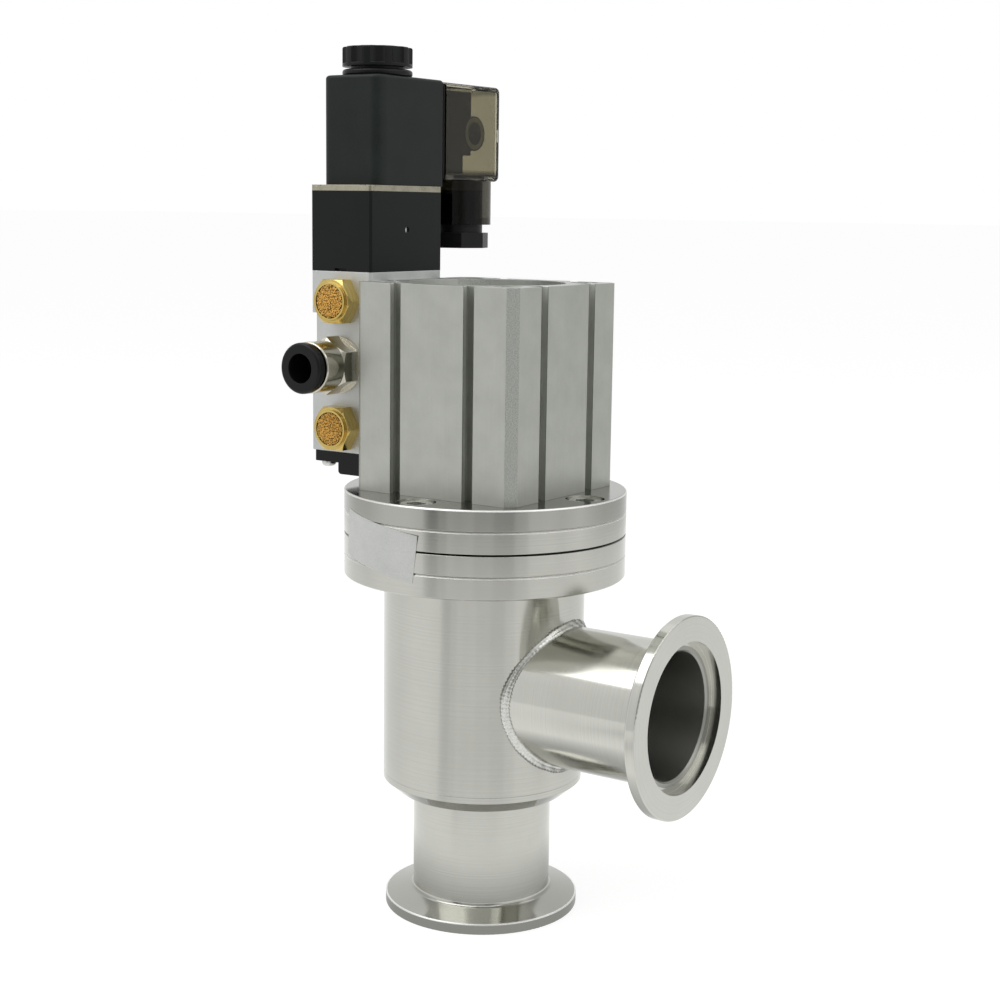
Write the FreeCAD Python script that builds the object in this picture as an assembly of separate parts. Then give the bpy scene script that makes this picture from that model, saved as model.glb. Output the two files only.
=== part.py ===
"""Right-angle vacuum valve with KF 40 flanges, a double-acting air cylinder and a five-port solenoid valve.

Millimetres. The origin is the centre of the inlet flange's face, +Z is the valve's own axis and
the side port points along +X. The solenoid valve stands on the cylinder's -X face.
"""
import FreeCAD, Part
import math
import os
from FreeCAD import Vector

# Running and assembly clearances
SLIDE_GAP = 0.05
LOOSE_GAP = 0.3
SEAL_GAP = 0.02

# Shares of the size that they belong to
GROOVE_SHARE = 0.6
CAP_HEAD_EDGE_SHARE = 0.08
PAN_ROUND_SHARE = 0.6
CROSS_ARM_SHARE = 0.3
WASHER_ROUND_SHARE = 0.4
NUT_ROUND_SHARE = 0.6
DISC_DOME_SHARE = 0.1
DISC_FLAT_SHARE = 0.7
COLLAR_ROUND_SHARE = 0.4

# KF 40 flange ends and the tube behind them
PORT_HEIGHT = 65.0
PORT_REACH = 65.0
KF_OD = 55.0
KF_RIM = 3.0
KF_TAPER = 15.0
KF_RECESS_D = 41.2
KF_RECESS_DEPTH = 3.0
KF_ROOT_FILLET = 1.2
KF_RIM_EDGE = 0.3
KF_BORE_EDGE = 0.5
TUBE_BORE = 35.0
TUBE_WALL = 2.05

# Valve body
BODY_OD = 56.5
BODY_WALL = 1.8
PORT_TO_FOOT = 6.05
PORT_TO_FLANGE = 10.55
FOOT_CHAMFER_R = 4.15
FOOT_CHAMFER_H = 3.5
TUBE_SOCKET = 3.0
BODY_FLOOR_T = 5.2
SEAT_LAND_W = 4.6
SEAT_LAND_H = 1.0
WELD_LEG = 1.6
WELD_ROUND = 1.2
CREST_POINTS = 6

# Bolted flanges between body and cylinder
FLANGE_T = 12.0
FLANGE_BORDER = 6.9
FLANGE_EDGE = 0.35
FLANGE_LINE_W = 0.7
FLANGE_LINE_DEPTH = 0.6
FLANGE_LIP_T = 4.0
FLANGE_LIP_W = 3.75
FLANGE_SEAL_D = 2.0
FLANGE_SCREWS = 4
FLANGE_SCREW_D = 6.0
FLANGE_SCREW_LEN = 16.0
FLANGE_SCREW_WEB = 1.25
FLANGE_HEAD_D = 9.8
FLANGE_HEAD_H = 6.0
FLANGE_SINK = 0.4

# Valve stem, disc and bellows
STROKE = 20.0
STEM_D = 10.0
STEM_STEP = 1.0
DISC_LIFT = 0.3
DISC_BORDER = 0.4
DISC_T = 6.0
DISC_EDGE = 0.5
DISC_HUB_WALL = 4.5
DISC_HUB_H = 7.2
DISC_SEAL_D = 3.0
DISC_SEAL_PROUD = 0.25
DISC_WEB = 2.1
DISC_SCREW_D = 5.0
DISC_SCREW_LEN = 14.0
DISC_HEAD_D = 8.5
DISC_HEAD_H = 2.7
DISC_HEAD_SINK = 0.2
BELLOWS_CLEAR = 1.1
BELLOWS_FOLD = 4.4
BELLOWS_WALL = 0.6
BELLOWS_FOLDS = 17
BELLOWS_COLLAR_T = 1.2
BELLOWS_COLLAR_W = 2.2
BELLOWS_COLLAR_STEP = 0.4
BELLOWS_RING_W = 8.4
BELLOWS_RING_T = 2.5

# Rod guide in the upper flange
BUSH_WALL = 2.0
BUSH_SINK = 0.8
BUSH_LEN = 12.0
ROD_SEAL_H = 2.5
GUIDE_WALL = 3.0
GUIDE_BOSS_H = 8.3
SPIGOT_H = 4.0
SPIGOT_SEAL_D = 2.0

# Air cylinder
CYL_BORE = 40.0
CYL_WALL = 6.25
CYL_CORNER = 2.5
CAP_STEP = 1.5
CAP_T = 7.0
CAP_SINK = 4.2
CAP_EDGE = 0.5
CAP_SEAL_D = 2.0
CAP_POCKET_D = 19.0
RING_T = 1.4
RING_BITE = 1.0
RING_WIDTH = 3.0
RING_MOUTH = 9.0
RING_LUG_D = 5.6
RING_HOLE_D = 2.2
SLOT_OFFSET = 11.9
SLOT_MOUTH = 3.4
SLOT_LIP = 1.5
SLOT_WIDE = 5.8
SLOT_DEPTH = 3.8
CYL_SCREW_INSET = 7.05
CYL_SCREW_D = 4.0
CYL_SCREW_LEN = 60.0
CYL_HEAD_D = 7.0
CYL_HEAD_H = 4.0
CYL_HEAD_SINK = 0.6
PISTON_LOW_GAP = 2.0
PISTON_TOP_GAP = 4.0
PISTON_T = 10.0
PISTON_SEAL_W = 3.0
PISTON_SEAL_DEPTH = 2.4
PISTON_NUT_AF = 13.0
PISTON_NUT_T = 4.0
STEM_END = 1.0
AIR_HOLE_D = 3.0
AIR_DUCT_D = 2.5
AIR_DUCT_INSET = 2.95
AIR_LOW_RISE = 6.3
AIR_TOP_DROP = 2.15
AIR_OVERLAP = 2.0

# Spool and its bore
SPRING_OD = 5.6
SPRING_WIRE = 0.6
SPRING_TURNS = 6
SPRING_POCKET_DEPTH = 7.5
SPOOL_WALL = 1.1
SPOOL_LAND_STEP = 1.8
SPOOL_LAND_T = 2.6
SPOOL_SEAL_D = 1.5
SPOOL_STROKE = 3.6
UNDERCUT_DEPTH = 1.0
PORT_UNDERCUT_W = 3.2
OUTLET_UNDERCUT_W = 4.4

# Solenoid valve block
BLOCK_WALL = 3.65
BLOCK_Y = 33.0
BLOCK_SHIFT_Y = -2.0
BLOCK_EDGE = 0.7
BLOCK_LOW_END = 2.15
BLOCK_TOP_END = 3.25
RELIEF_LOW = 20.7
RELIEF_H = 18.1
RELIEF_DEPTH = 2.1
PORT_WEB = 1.2
PORT_THREAD_D = 9.7
PORT_DEPTH = 8.5
PORT_DRILL_D = 5.0
SPOOL_SHIFT_Y = 3.5
FACE_SEAL_WALL = 1.9
FACE_SEAL_D = 1.5
MOUNT_SCREW_D = 3.0
MOUNT_HEAD_D = 5.6
MOUNT_HEAD_H = 2.2
SLOT_NUT_T = 1.8

# Black cover under the valve block
COVER_T = 3.1
COVER_DEEP = 6.3
COVER_DEEP_X = 11.6
COVER_EDGE = 1.0
COVER_POCKET = 2.0
COVER_SCREW_D = 2.5
COVER_HEAD_D = 4.2
COVER_HEAD_H = 1.9
COVER_SCREW_LEN = 10.0
COVER_SCREW_INSET_X = 3.2
COVER_SCREW_INSET_Y = 4.0

# Pilot stage
PILOT_EDGE = 0.6
PILOT_STEP = 2.0
PILOT_PISTON_T = 3.6
PILOT_TOP_GAP = 0.4
PILOT_LOW_GAP = 1.4
PILOT_FLOOR = 6.7
VENT_W = 4.2
VENT_H = 0.9
VENT_DEPTH = 1.0
NOZZLE_D = 3.2
NOZZLE_HOLE_D = 1.2
NOZZLE_H = 0.5
NOZZLE_WELL_D = 10.0
NOZZLE_WELL = 6.4
OVERRIDE_RISE = 2.5
OVERRIDE_D = 1.8
OVERRIDE_LEN = 7.5
OVERRIDE_SINK = 0.5
OVERRIDE_TRAVEL = 1.0
PLATE_T = 1.6
PLATE_EDGE = 1.0
PLATE_SCREW_D = 3.0
PLATE_HEAD_D = 5.8
PLATE_HEAD_RIM = 0.2
PLATE_SCREW_INSET = 2.8
PLATE_SCREW_BITE = 7.0
CROSS_W = 0.8
CROSS_DEPTH = 0.7

# Solenoid
CORE_FLANGE_D = 16.0
CORE_FLANGE_T = 2.0
CORE_WALL = 0.7
CORE_BORE = 7.6
CORE_BORE_LEN = 17.6
CORE_THREAD_STEP = 0.5
PLUNGER_STROKE = 1.5
PLUNGER_POCKET = 6.0
PLUNGER_SPRING_OD = 4.4
PLUNGER_SPRING_WIRE = 0.5
PLUNGER_SPRING_TURNS = 6
COIL_X = 20.5
COIL_FRONT = 12.3
COIL_BACK = 17.8
COIL_H = 29.9
COIL_CORNER = 3.3
COIL_BACK_CORNER = 1.0
COIL_TOP_EDGE = 1.0
WASHER_T = 1.9
NUT_D = 19.6
NUT_NECK_D = 15.0
NUT_NECK_H = 0.8
NUT_H = 5.3
NUT_RIM = 0.8
NUT_FLUTES = 10
NUT_FLUTE_R = 3.4
NUT_TURN = 20.0
NUT_FLUTE_DEPTH = 0.9
NUT_TOP_T = 1.4

# Cable connector
PIN_W = 6.3
PIN_T = 0.8
PIN_LEN = 9.0
PIN_SPREAD = 8.5
GASKET_T = 0.8
GASKET_INSET = 0.5
CONN_X = 20.9
CONN_Y = 29.2
CONN_LOW = 1.9
CONN_H = 27.6
CONN_WALL = 1.5
CONN_CORNER = 1.2
CONN_BACK_ROUND = 3.2
INSERT_Y = 14.4
INSERT_FOOT_Y = 10.4
INSERT_FOOT_H = 5.3
INSERT_GAP = 0.6
INSERT_BOSS_D = 10.0
INSERT_BOSS_Y = 2.0
CONN_SCREW_D = 3.0
CONN_SCREW_BITE = 4.5
CONN_HEAD_D = 6.0
CONN_HEAD_H = 2.2
CONN_TOWER_WALL = 1.5
SLEEVE_WALL = 2.5
SLEEVE_H = 12.7
SLEEVE_TO_BACK = 9.2
GLAND_NECK_D = 15.8
GLAND_NECK_H = 2.4
GLAND_TAIL = 2.0
GLAND_AF = 18.1
GLAND_H = 6.9
GLAND_FLATS = 8
GLAND_HOLE = 9.0
GROMMET_H = 8.0
CABLE_HOLE = 6.5

# Silencers and air fitting in the three ports
SILENCER_AF = 12.0
SILENCER_HEX_T = 4.4
SILENCER_RIM_T = 0.7
SILENCER_STEM = 6.0
SILENCER_DISC_D = 9.4
SILENCER_DISC_T = 2.0
SILENCER_RIM_W = 0.6
SILENCER_BORE = 6.4
HEX_BEVEL = 0.9
HEX_TURN = 30.0
FIT_BASE_D = 15.8
FIT_BASE_T = 1.2
FIT_AF = 14.0
FIT_HEX_T = 6.0
FIT_BODY_D = 14.2
FIT_BODY_END = 14.2
FIT_BODY_EDGE = 0.6
FIT_TUBE_D = 8.2
FIT_STOP = 1.0
FIT_SEAT = 3.0
FIT_SEAL_AT = 6.0
FIT_SEAL_D = 1.55
COLLAR_D = 14.0
COLLAR_T = 2.2
COLLAR_TRAVEL = 1.0
COLLAR_GAP = 0.2
COLLAR_SLEEVE_END = 8.8

# Blank paper seal across the flange joint
LABEL_W = 29.6
LABEL_H = 12.8
LABEL_T = 0.12
LABEL_ANGLE = -104.6
LABEL_TILT = 7.0
LABEL_DROP = 0.2

# Round sizes worked out from the driving ones
KF_R = KF_OD / 2
BORE_R = TUBE_BORE / 2
TUBE_R = BORE_R + TUBE_WALL
TUBE_OD = 2 * TUBE_R
BODY_R = BODY_OD / 2
FLANGE_SCREW_R = BODY_R + FLANGE_SCREW_WEB + FLANGE_SCREW_D / 2
FLANGE_R = FLANGE_SCREW_R + FLANGE_BORDER
FLANGE_LIP_R = BODY_R - FLANGE_LIP_W
FLANGE_SEAL_R = (FLANGE_LIP_R + FLANGE_SCREW_R - FLANGE_SCREW_D / 2) / 2
STEM_TOP_D = STEM_D - 2 * STEM_STEP
DISC_SEAL_R = BORE_R + SEAT_LAND_W / 2
DISC_R = BORE_R + SEAT_LAND_W + DISC_BORDER
HUB_R = STEM_D / 2 + DISC_HUB_WALL
BELLOWS_IN_R = HUB_R + BELLOWS_CLEAR
BELLOWS_OUT_R = BELLOWS_IN_R + BELLOWS_FOLD
BUSH_R = STEM_D / 2 + BUSH_WALL
GUIDE_R = BUSH_R + GUIDE_WALL
CYL_BORE_R = CYL_BORE / 2
CYL_R = CYL_BORE_R + CYL_WALL
PISTON_R = CYL_BORE_R - SLIDE_GAP
CAP_R = CYL_BORE_R + CAP_STEP
NECK_R = SPRING_OD / 2 + LOOSE_GAP + SPOOL_WALL
SPOOL_R = NECK_R + SPOOL_LAND_STEP
UNDERCUT_R = SPOOL_R + UNDERCUT_DEPTH
PILOT_R = SPOOL_R + PILOT_STEP
BLOCK_X = 2 * (UNDERCUT_R + BLOCK_WALL)
PORT_PITCH = PORT_THREAD_D + MOUNT_HEAD_D + 2 * PORT_WEB
CORE_R = CORE_BORE / 2 + CORE_WALL
CORE_THREAD_R = CORE_R - CORE_THREAD_STEP
SLEEVE_BORE_R = GLAND_NECK_D / 2
SLEEVE_R = SLEEVE_BORE_R + SLEEVE_WALL
FIT_SLEEVE_R = FIT_TUBE_D / 2 + FIT_SEAL_D

# Heights of the body, stem and cylinder
WELD_R = TUBE_R + WELD_LEG
BODY_FOOT_Z = PORT_HEIGHT - WELD_R - PORT_TO_FOOT - FOOT_CHAMFER_H
BODY_FLOOR_Z = BODY_FOOT_Z + BODY_FLOOR_T
SEAT_Z = BODY_FLOOR_Z + SEAT_LAND_H
JOINT_Z = PORT_HEIGHT + WELD_R + PORT_TO_FLANGE + FLANGE_T
BONNET_Z = JOINT_Z + FLANGE_T
DISC_Z = SEAT_Z + DISC_LIFT
DISC_SCREW_SEAT_Z = DISC_Z + DISC_HEAD_SINK + DISC_HEAD_H
STEM_FOOT_Z = DISC_SCREW_SEAT_Z + DISC_WEB
BELLOWS_LOW_Z = DISC_Z + DISC_T
BELLOWS_HIGH_Z = JOINT_Z - BELLOWS_RING_T
BUSH_Z = JOINT_Z + BUSH_SINK
ROD_SEAL_Z = BUSH_Z + BUSH_LEN
GUIDE_TOP_Z = BONNET_Z + GUIDE_BOSS_H
PISTON_Z = GUIDE_TOP_Z + PISTON_LOW_GAP
PISTON_NUT_Z = PISTON_Z + PISTON_T
STEM_TOP_Z = PISTON_NUT_Z + PISTON_NUT_T + STEM_END
CAP_Z = PISTON_NUT_Z + STROKE + PISTON_TOP_GAP
CAP_POCKET_TOP_Z = STEM_TOP_Z + STROKE + PISTON_LOW_GAP
RING_Z = CAP_Z + CAP_T
CYL_TOP_Z = RING_Z + RING_T + CAP_SINK
CYL_SCREW_SEAT_Z = CYL_TOP_Z - CYL_HEAD_SINK - CYL_HEAD_H
AIR_LOW_Z = BONNET_Z + AIR_LOW_RISE

# Places of the solenoid valve on the cylinder's -X face
MIDDLE_PORT_Z = CAP_Z - AIR_TOP_DROP - PORT_PITCH / 2
PORT_Z = [MIDDLE_PORT_Z + step * PORT_PITCH for step in (-1, 0, 1)]
OUTLET_Z = [MIDDLE_PORT_Z + step * PORT_PITCH for step in (-0.5, 0.5)]
BLOCK_Z = PORT_Z[0] - PORT_THREAD_D / 2 - BLOCK_LOW_END
BLOCK_TOP_Z = PORT_Z[2] + PORT_THREAD_D / 2 + BLOCK_TOP_END
BLOCK_FACE_X = -CYL_R
BLOCK_MID_X = BLOCK_FACE_X - BLOCK_X / 2
BLOCK_BACK_X = BLOCK_FACE_X - BLOCK_X
BLOCK_FRONT_Y = BLOCK_SHIFT_Y - BLOCK_Y / 2
BLOCK_REAR_Y = BLOCK_SHIFT_Y + BLOCK_Y / 2
SPOOL_Y = BLOCK_SHIFT_Y + SPOOL_SHIFT_Y
COVER_FLOOR_Z = BLOCK_Z - COVER_POCKET
COVER_SCREW_TIP_Z = BLOCK_Z - COVER_T + COVER_SCREW_LEN
PILOT_POCKET = PILOT_LOW_GAP + SPOOL_STROKE + PILOT_PISTON_T + PILOT_TOP_GAP
PILOT_PISTON_Z = BLOCK_TOP_Z + PILOT_LOW_GAP + SPOOL_STROKE
PILOT_TOP_Z = BLOCK_TOP_Z + PILOT_POCKET + PILOT_FLOOR + NOZZLE_WELL
PLATE_TOP_Z = PILOT_TOP_Z + PLATE_T
SPOOL_LAND_Z = [
    BLOCK_Z + SPOOL_STROKE + SPOOL_SEAL_D * GROOVE_SHARE, OUTLET_Z[0], PORT_Z[1] - PORT_PITCH / 4,
    OUTLET_Z[1], PORT_Z[2] - PORT_PITCH / 4, BLOCK_TOP_Z - SPOOL_SEAL_D * GROOVE_SHARE,
]
SPOOL_FOOT_Z = SPOOL_LAND_Z[0] - SPOOL_LAND_T / 2
SPRING_TOP_Z = SPOOL_FOOT_Z + SPRING_POCKET_DEPTH

# Places of the solenoid and the connector
NOZZLE_TOP_Z = PILOT_TOP_Z - NOZZLE_WELL + NOZZLE_H
CORE_FOOT_Z = PILOT_TOP_Z - CORE_FLANGE_T
CORE_STOP_Z = CORE_FOOT_Z + CORE_BORE_LEN
PLUNGER_Z = NOZZLE_TOP_Z + SLIDE_GAP
PLUNGER_TOP_Z = CORE_STOP_Z - PLUNGER_STROKE - SLIDE_GAP
PLUNGER_SPRING_Z = PLUNGER_TOP_Z - PLUNGER_POCKET
COIL_TOP_Z = PLATE_TOP_Z + COIL_H
COIL_FRONT_Y = BLOCK_SHIFT_Y - COIL_FRONT
COIL_REAR_Y = BLOCK_SHIFT_Y + COIL_BACK
NUT_Z = COIL_TOP_Z + WASHER_T
NUT_HEAD_Z = NUT_Z + NUT_NECK_H
NUT_TOP_Z = NUT_HEAD_Z + NUT_H
CONN_FRONT_Y = COIL_REAR_Y + GASKET_T
CONN_REAR_Y = CONN_FRONT_Y + CONN_Y
CONN_Z = PLATE_TOP_Z + CONN_LOW
CONN_TOP_Z = CONN_Z + CONN_H
CONN_MID_Z = CONN_Z + CONN_H / 2
CONN_SCREW_SEAT_Y = CONN_REAR_Y - LOOSE_GAP - CONN_HEAD_H
INSERT_REAR_Y = CONN_FRONT_Y + INSERT_Y
SLEEVE_Y = CONN_REAR_Y - SLEEVE_TO_BACK
SLEEVE_Z = CONN_Z - SLEEVE_H

CORNERS = [(1, 1), (-1, 1), (-1, -1), (1, -1)]
UP = Vector(0, 0, 1)


def upright(radius, low, high, x=0.0, y=0.0):
    """Solid cylinder that stands between two heights."""
    return Part.makeCylinder(radius, high - low, Vector(x, y, low))


def pipe(outer, inner, low, high, x=0.0, y=0.0):
    """Upright tube."""
    return upright(outer, low, high, x, y).cut(upright(inner, low - 1, high + 1, x, y))


def rod(radius, start, end):
    """Solid cylinder from one point to another."""
    span = end - start
    return Part.makeCylinder(radius, span.Length, start, span)


def block(x0, x1, y0, y1, z0, z1):
    """Box between two corners."""
    return Part.makeBox(x1 - x0, y1 - y0, z1 - z0, Vector(x0, y0, z0))


def turned(profile, x=0.0, y=0.0):
    """Solid of revolution about an upright axis, from (radius, height) points."""
    points = [Vector(r, 0, z) for r, z in profile]
    face = Part.Face(Part.makePolygon(points + points[:1]))
    solid = face.revolve(Vector(0, 0, 0), UP, 360)
    solid.translate(Vector(x, y, 0))
    return solid


def prism(sides, across_flats, low, high, x=0.0, y=0.0, turn=0.0):
    """Upright regular prism, with a corner on +X before it is turned."""
    radius = across_flats / 2 / math.cos(math.pi / sides)
    angles = [math.radians(turn) + 2 * math.pi * k / sides for k in range(sides)]
    corners = [Vector(x + radius * math.cos(a), y + radius * math.sin(a), low) for a in angles]
    return Part.Face(Part.makePolygon(corners + corners[:1])).extrude(Vector(0, 0, high - low))


def bevelled_hex(across_flats, low, high, turn=0.0):
    """Upright hexagon whose upper corners are turned off."""
    corner_r = across_flats / math.sqrt(3)
    cone = turned([(0, low), (corner_r, low), (corner_r, high - HEX_BEVEL), (across_flats / 2, high), (0, high)])
    return prism(6, across_flats, low, high, 0, 0, turn).common(cone)


def upright_edges(shape, test=lambda p: True):
    """Straight edges along Z whose middle point passes a test."""
    found = []
    for edge in shape.Edges:
        box = edge.BoundBox
        if max(box.XLength, box.YLength) < 1e-4 < box.ZLength and test(box.Center):
            found.append(edge)
    return found


def level_edges(shape, z, width=None):
    """Edges that lie wholly at one height, or of those only the circles of one diameter."""
    found = []
    for edge in shape.Edges:
        box = edge.BoundBox
        if max(abs(box.ZMin - z), abs(box.ZMax - z)) > 1e-4:
            continue
        if width is None or abs(box.XLength - width) < 1e-3:
            found.append(edge)
    return found


def on_circle(count, radius, turn=0.0):
    """Points spaced evenly on a circle, the first on +X before they are turned."""
    angles = [math.radians(turn) + 2 * math.pi * k / count for k in range(count)]
    return [(radius * math.cos(a), radius * math.sin(a)) for a in angles]


def o_ring(ring_r, section, z, x=0.0, y=0.0, axis=UP):
    """Rubber ring of round section."""
    return Part.makeTorus(ring_r, section / 2 - SEAL_GAP, Vector(x, y, z), axis)


def ring_groove(outer_r, section, mid):
    """Cutter for a ring's groove in a round wall, open outwards."""
    half = section * GROOVE_SHARE
    return pipe(outer_r + 1, outer_r - section, mid - half, mid + half)


def socket_screw(head_d, head_h, shank_d, length, x, y, under_head):
    """Upright socket head cap screw, its shank pointing down."""
    top = under_head + head_h
    head = upright(head_d / 2, under_head, top, x, y)
    head = head.makeChamfer(head_h * CAP_HEAD_EDGE_SHARE, level_edges(head, top))
    key = head_d / 2
    head = head.cut(prism(6, key, top - head_h / 2, top + 1, x, y))
    return head.fuse(upright(shank_d / 2, under_head - length, under_head, x, y)).removeSplitter()


def coil_spring(outer_d, wire, turns, low, high, x, y):
    """Compression spring: a round wire on a helix between two heights."""
    mean_r = (outer_d - wire) / 2
    rise = high - low - wire
    helix = Part.makeHelix(rise / turns, rise, mean_r)
    heading = Vector(0, 2 * math.pi * mean_r, rise / turns)
    section = Part.Wire(Part.makeCircle(wire / 2, Vector(mean_r, 0, 0), heading))
    coil = Part.Wire(helix.Edges).makePipeShell([section], True, True)
    coil.translate(Vector(x, y, low + wire / 2))
    return coil


def laid_in_port(shape, z):
    """Turn a shape modelled upward from the origin so that it stands out of a port of the block."""
    out = shape.copy()
    out.rotate(Vector(0, 0, 0), Vector(1, 0, 0), 90)
    out.translate(Vector(BLOCK_MID_X, BLOCK_FRONT_Y, z))
    return out


def kf_stub(length):
    """KF flange end turned in one piece with its tube, its face at height 0."""
    taper_top = KF_RIM + (KF_R - TUBE_R) * math.tan(math.radians(KF_TAPER))
    recess_r = KF_RECESS_D / 2
    stub = turned([
        (recess_r, 0), (KF_R, 0), (KF_R, KF_RIM), (TUBE_R, taper_top), (TUBE_R, length),
        (BORE_R, length), (BORE_R, KF_RECESS_DEPTH + KF_BORE_EDGE), (BORE_R + KF_BORE_EDGE, KF_RECESS_DEPTH),
        (recess_r, KF_RECESS_DEPTH),
    ])
    stub = stub.makeFillet(KF_ROOT_FILLET, level_edges(stub, taper_top, TUBE_OD))
    return stub.makeFillet(KF_RIM_EDGE, level_edges(stub, 0.0, KF_OD) + level_edges(stub, KF_RIM, KF_OD))


def inlet_stub():
    """Lower flange end, welded into the body's foot."""
    return kf_stub(BODY_FOOT_Z + TUBE_SOCKET)


def outlet_stub():
    """Side flange end, cut to a saddle that sits on the body."""
    stub = kf_stub(PORT_REACH)
    stub.rotate(Vector(0, 0, 0), Vector(0, 1, 0), -90)
    stub.translate(Vector(PORT_REACH, 0, PORT_HEIGHT))
    return stub.cut(upright(BODY_R, 0, BONNET_Z))


def side_rod(radius, reach):
    """Cylinder about the side port's axis, from the valve axis outwards."""
    return rod(radius, Vector(0, 0, PORT_HEIGHT), Vector(reach, 0, PORT_HEIGHT))


def valve_body():
    """Tube of the body with the side hole, welded flush on its foot."""
    top = JOINT_Z - FLANGE_LIP_T
    return pipe(BODY_R, BODY_R - BODY_WALL, BODY_FLOOR_Z, top).cut(side_rod(BORE_R, BODY_R + 1))


def body_foot():
    """Turned foot of the body, with its chamfer, the raised seat and the inlet tube's socket."""
    seat_r = BORE_R + SEAT_LAND_W
    foot = BODY_FOOT_Z
    return turned([
        (TUBE_R, foot), (BODY_R - FOOT_CHAMFER_R, foot), (BODY_R, foot + FOOT_CHAMFER_H), (BODY_R, BODY_FLOOR_Z),
        (seat_r, BODY_FLOOR_Z), (seat_r, SEAT_Z), (BORE_R, SEAT_Z),
        (BORE_R, foot + TUBE_SOCKET), (TUBE_R, foot + TUBE_SOCKET),
    ])


def is_crest(edge):
    """True on the weld bead's outermost edge, which lies on both of its outer walls."""
    first, last = edge.ParameterRange
    for k in range(CREST_POINTS):
        p = edge.valueAt(first + (last - first) * k / (CREST_POINTS - 1))
        off_wall = abs(math.hypot(p.x, p.y) - BODY_R - WELD_LEG)
        off_port = abs(math.hypot(p.y, p.z - PORT_HEIGHT) - WELD_R)
        if max(off_wall, off_port) > 1e-3:
            return False
    return True


def outlet_weld():
    """Fillet weld bead that follows the saddle between body and side port."""
    outer_r = BODY_R + WELD_LEG
    bead = side_rod(WELD_R, outer_r + 1).common(upright(outer_r, 0, BONNET_Z))
    bead = bead.cut(side_rod(TUBE_R, outer_r + 1)).cut(upright(BODY_R, 0, BONNET_Z))
    return bead.makeFillet(WELD_ROUND, [e for e in bead.Edges if is_crest(e)])


def scribed(flange, low):
    """Cut the V line round the middle of a flange's edge."""
    mid = low + FLANGE_T / 2
    half = FLANGE_LINE_W / 2
    return flange.cut(turned([
        (FLANGE_R + 1, mid - half), (FLANGE_R + 1, mid + half), (FLANGE_R, mid + half),
        (FLANGE_R - FLANGE_LINE_DEPTH, mid), (FLANGE_R, mid - half),
    ]))


def flange_screw_places():
    """Centres of the screws that bolt the two flanges together."""
    return on_circle(FLANGE_SCREWS, FLANGE_SCREW_R)


def flange_screw_seat_z():
    """Height under the flange screws' heads."""
    return BONNET_Z - FLANGE_SINK - FLANGE_HEAD_H


def body_flange():
    """Lower flange, welded to the body, with the face seal's groove and tapped holes."""
    low = JOINT_Z - FLANGE_T
    flange = turned([
        (BODY_R, low), (FLANGE_R - FLANGE_EDGE, low), (FLANGE_R, low + FLANGE_EDGE),
        (FLANGE_R, JOINT_Z - FLANGE_EDGE), (FLANGE_R - FLANGE_EDGE, JOINT_Z), (FLANGE_LIP_R, JOINT_Z),
        (FLANGE_LIP_R, JOINT_Z - FLANGE_LIP_T), (BODY_R, JOINT_Z - FLANGE_LIP_T),
    ])
    half = FLANGE_SEAL_D * GROOVE_SHARE
    groove = pipe(FLANGE_SEAL_R + half, FLANGE_SEAL_R - half, JOINT_Z - FLANGE_SEAL_D, JOINT_Z + 1)
    flange = scribed(flange, low).cut(groove)
    floor = flange_screw_seat_z() - FLANGE_SCREW_LEN - LOOSE_GAP
    for x, y in flange_screw_places():
        flange = flange.cut(upright(FLANGE_SCREW_D / 2, floor, JOINT_Z + 1, x, y))
    return flange


def bonnet_flange():
    """Upper flange, bored for the rod guide, with its screw holes."""
    bonnet = turned([
        (GUIDE_R, JOINT_Z), (FLANGE_R - FLANGE_EDGE, JOINT_Z), (FLANGE_R, JOINT_Z + FLANGE_EDGE),
        (FLANGE_R, BONNET_Z - FLANGE_EDGE), (FLANGE_R - FLANGE_EDGE, BONNET_Z), (GUIDE_R, BONNET_Z),
    ])
    bonnet = scribed(bonnet, JOINT_Z)
    for x, y in flange_screw_places():
        bonnet = bonnet.cut(upright(FLANGE_SCREW_D / 2 + LOOSE_GAP, JOINT_Z - 1, BONNET_Z + 1, x, y))
        bonnet = bonnet.cut(upright(FLANGE_HEAD_D / 2 + FLANGE_SINK, flange_screw_seat_z(), BONNET_Z + 1, x, y))
    for x, y in cylinder_screw_places():
        floor = CYL_SCREW_SEAT_Z - CYL_SCREW_LEN - LOOSE_GAP
        bonnet = bonnet.cut(upright(CYL_SCREW_D / 2, floor, BONNET_Z + 1, x, y))
    return bonnet


def rod_guide():
    """Guide pressed into the upper flange: it holds the bush and seal, and its collar centres the cylinder."""
    seal_top = ROD_SEAL_Z + ROD_SEAL_H
    spigot_r = CYL_BORE_R - SLIDE_GAP
    neck_r = STEM_D / 2 + LOOSE_GAP
    guide = turned([
        (BUSH_R, JOINT_Z), (GUIDE_R, JOINT_Z), (GUIDE_R, BONNET_Z), (spigot_r, BONNET_Z),
        (spigot_r, BONNET_Z + SPIGOT_H), (GUIDE_R, BONNET_Z + SPIGOT_H), (GUIDE_R, GUIDE_TOP_Z),
        (neck_r, GUIDE_TOP_Z), (neck_r, seal_top), (BUSH_R, seal_top),
    ])
    return guide.cut(ring_groove(CYL_BORE_R, SPIGOT_SEAL_D, BONNET_Z + SPIGOT_H / 2))


def flange_screws():
    """Socket head screws that bolt the two flanges together."""
    return [socket_screw(FLANGE_HEAD_D, FLANGE_HEAD_H, FLANGE_SCREW_D, FLANGE_SCREW_LEN, x, y, flange_screw_seat_z())
            for x, y in flange_screw_places()]


def flange_seal():
    """Rubber ring between the two flanges."""
    return o_ring(FLANGE_SEAL_R, FLANGE_SEAL_D, JOINT_Z - FLANGE_SEAL_D / 2)


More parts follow.
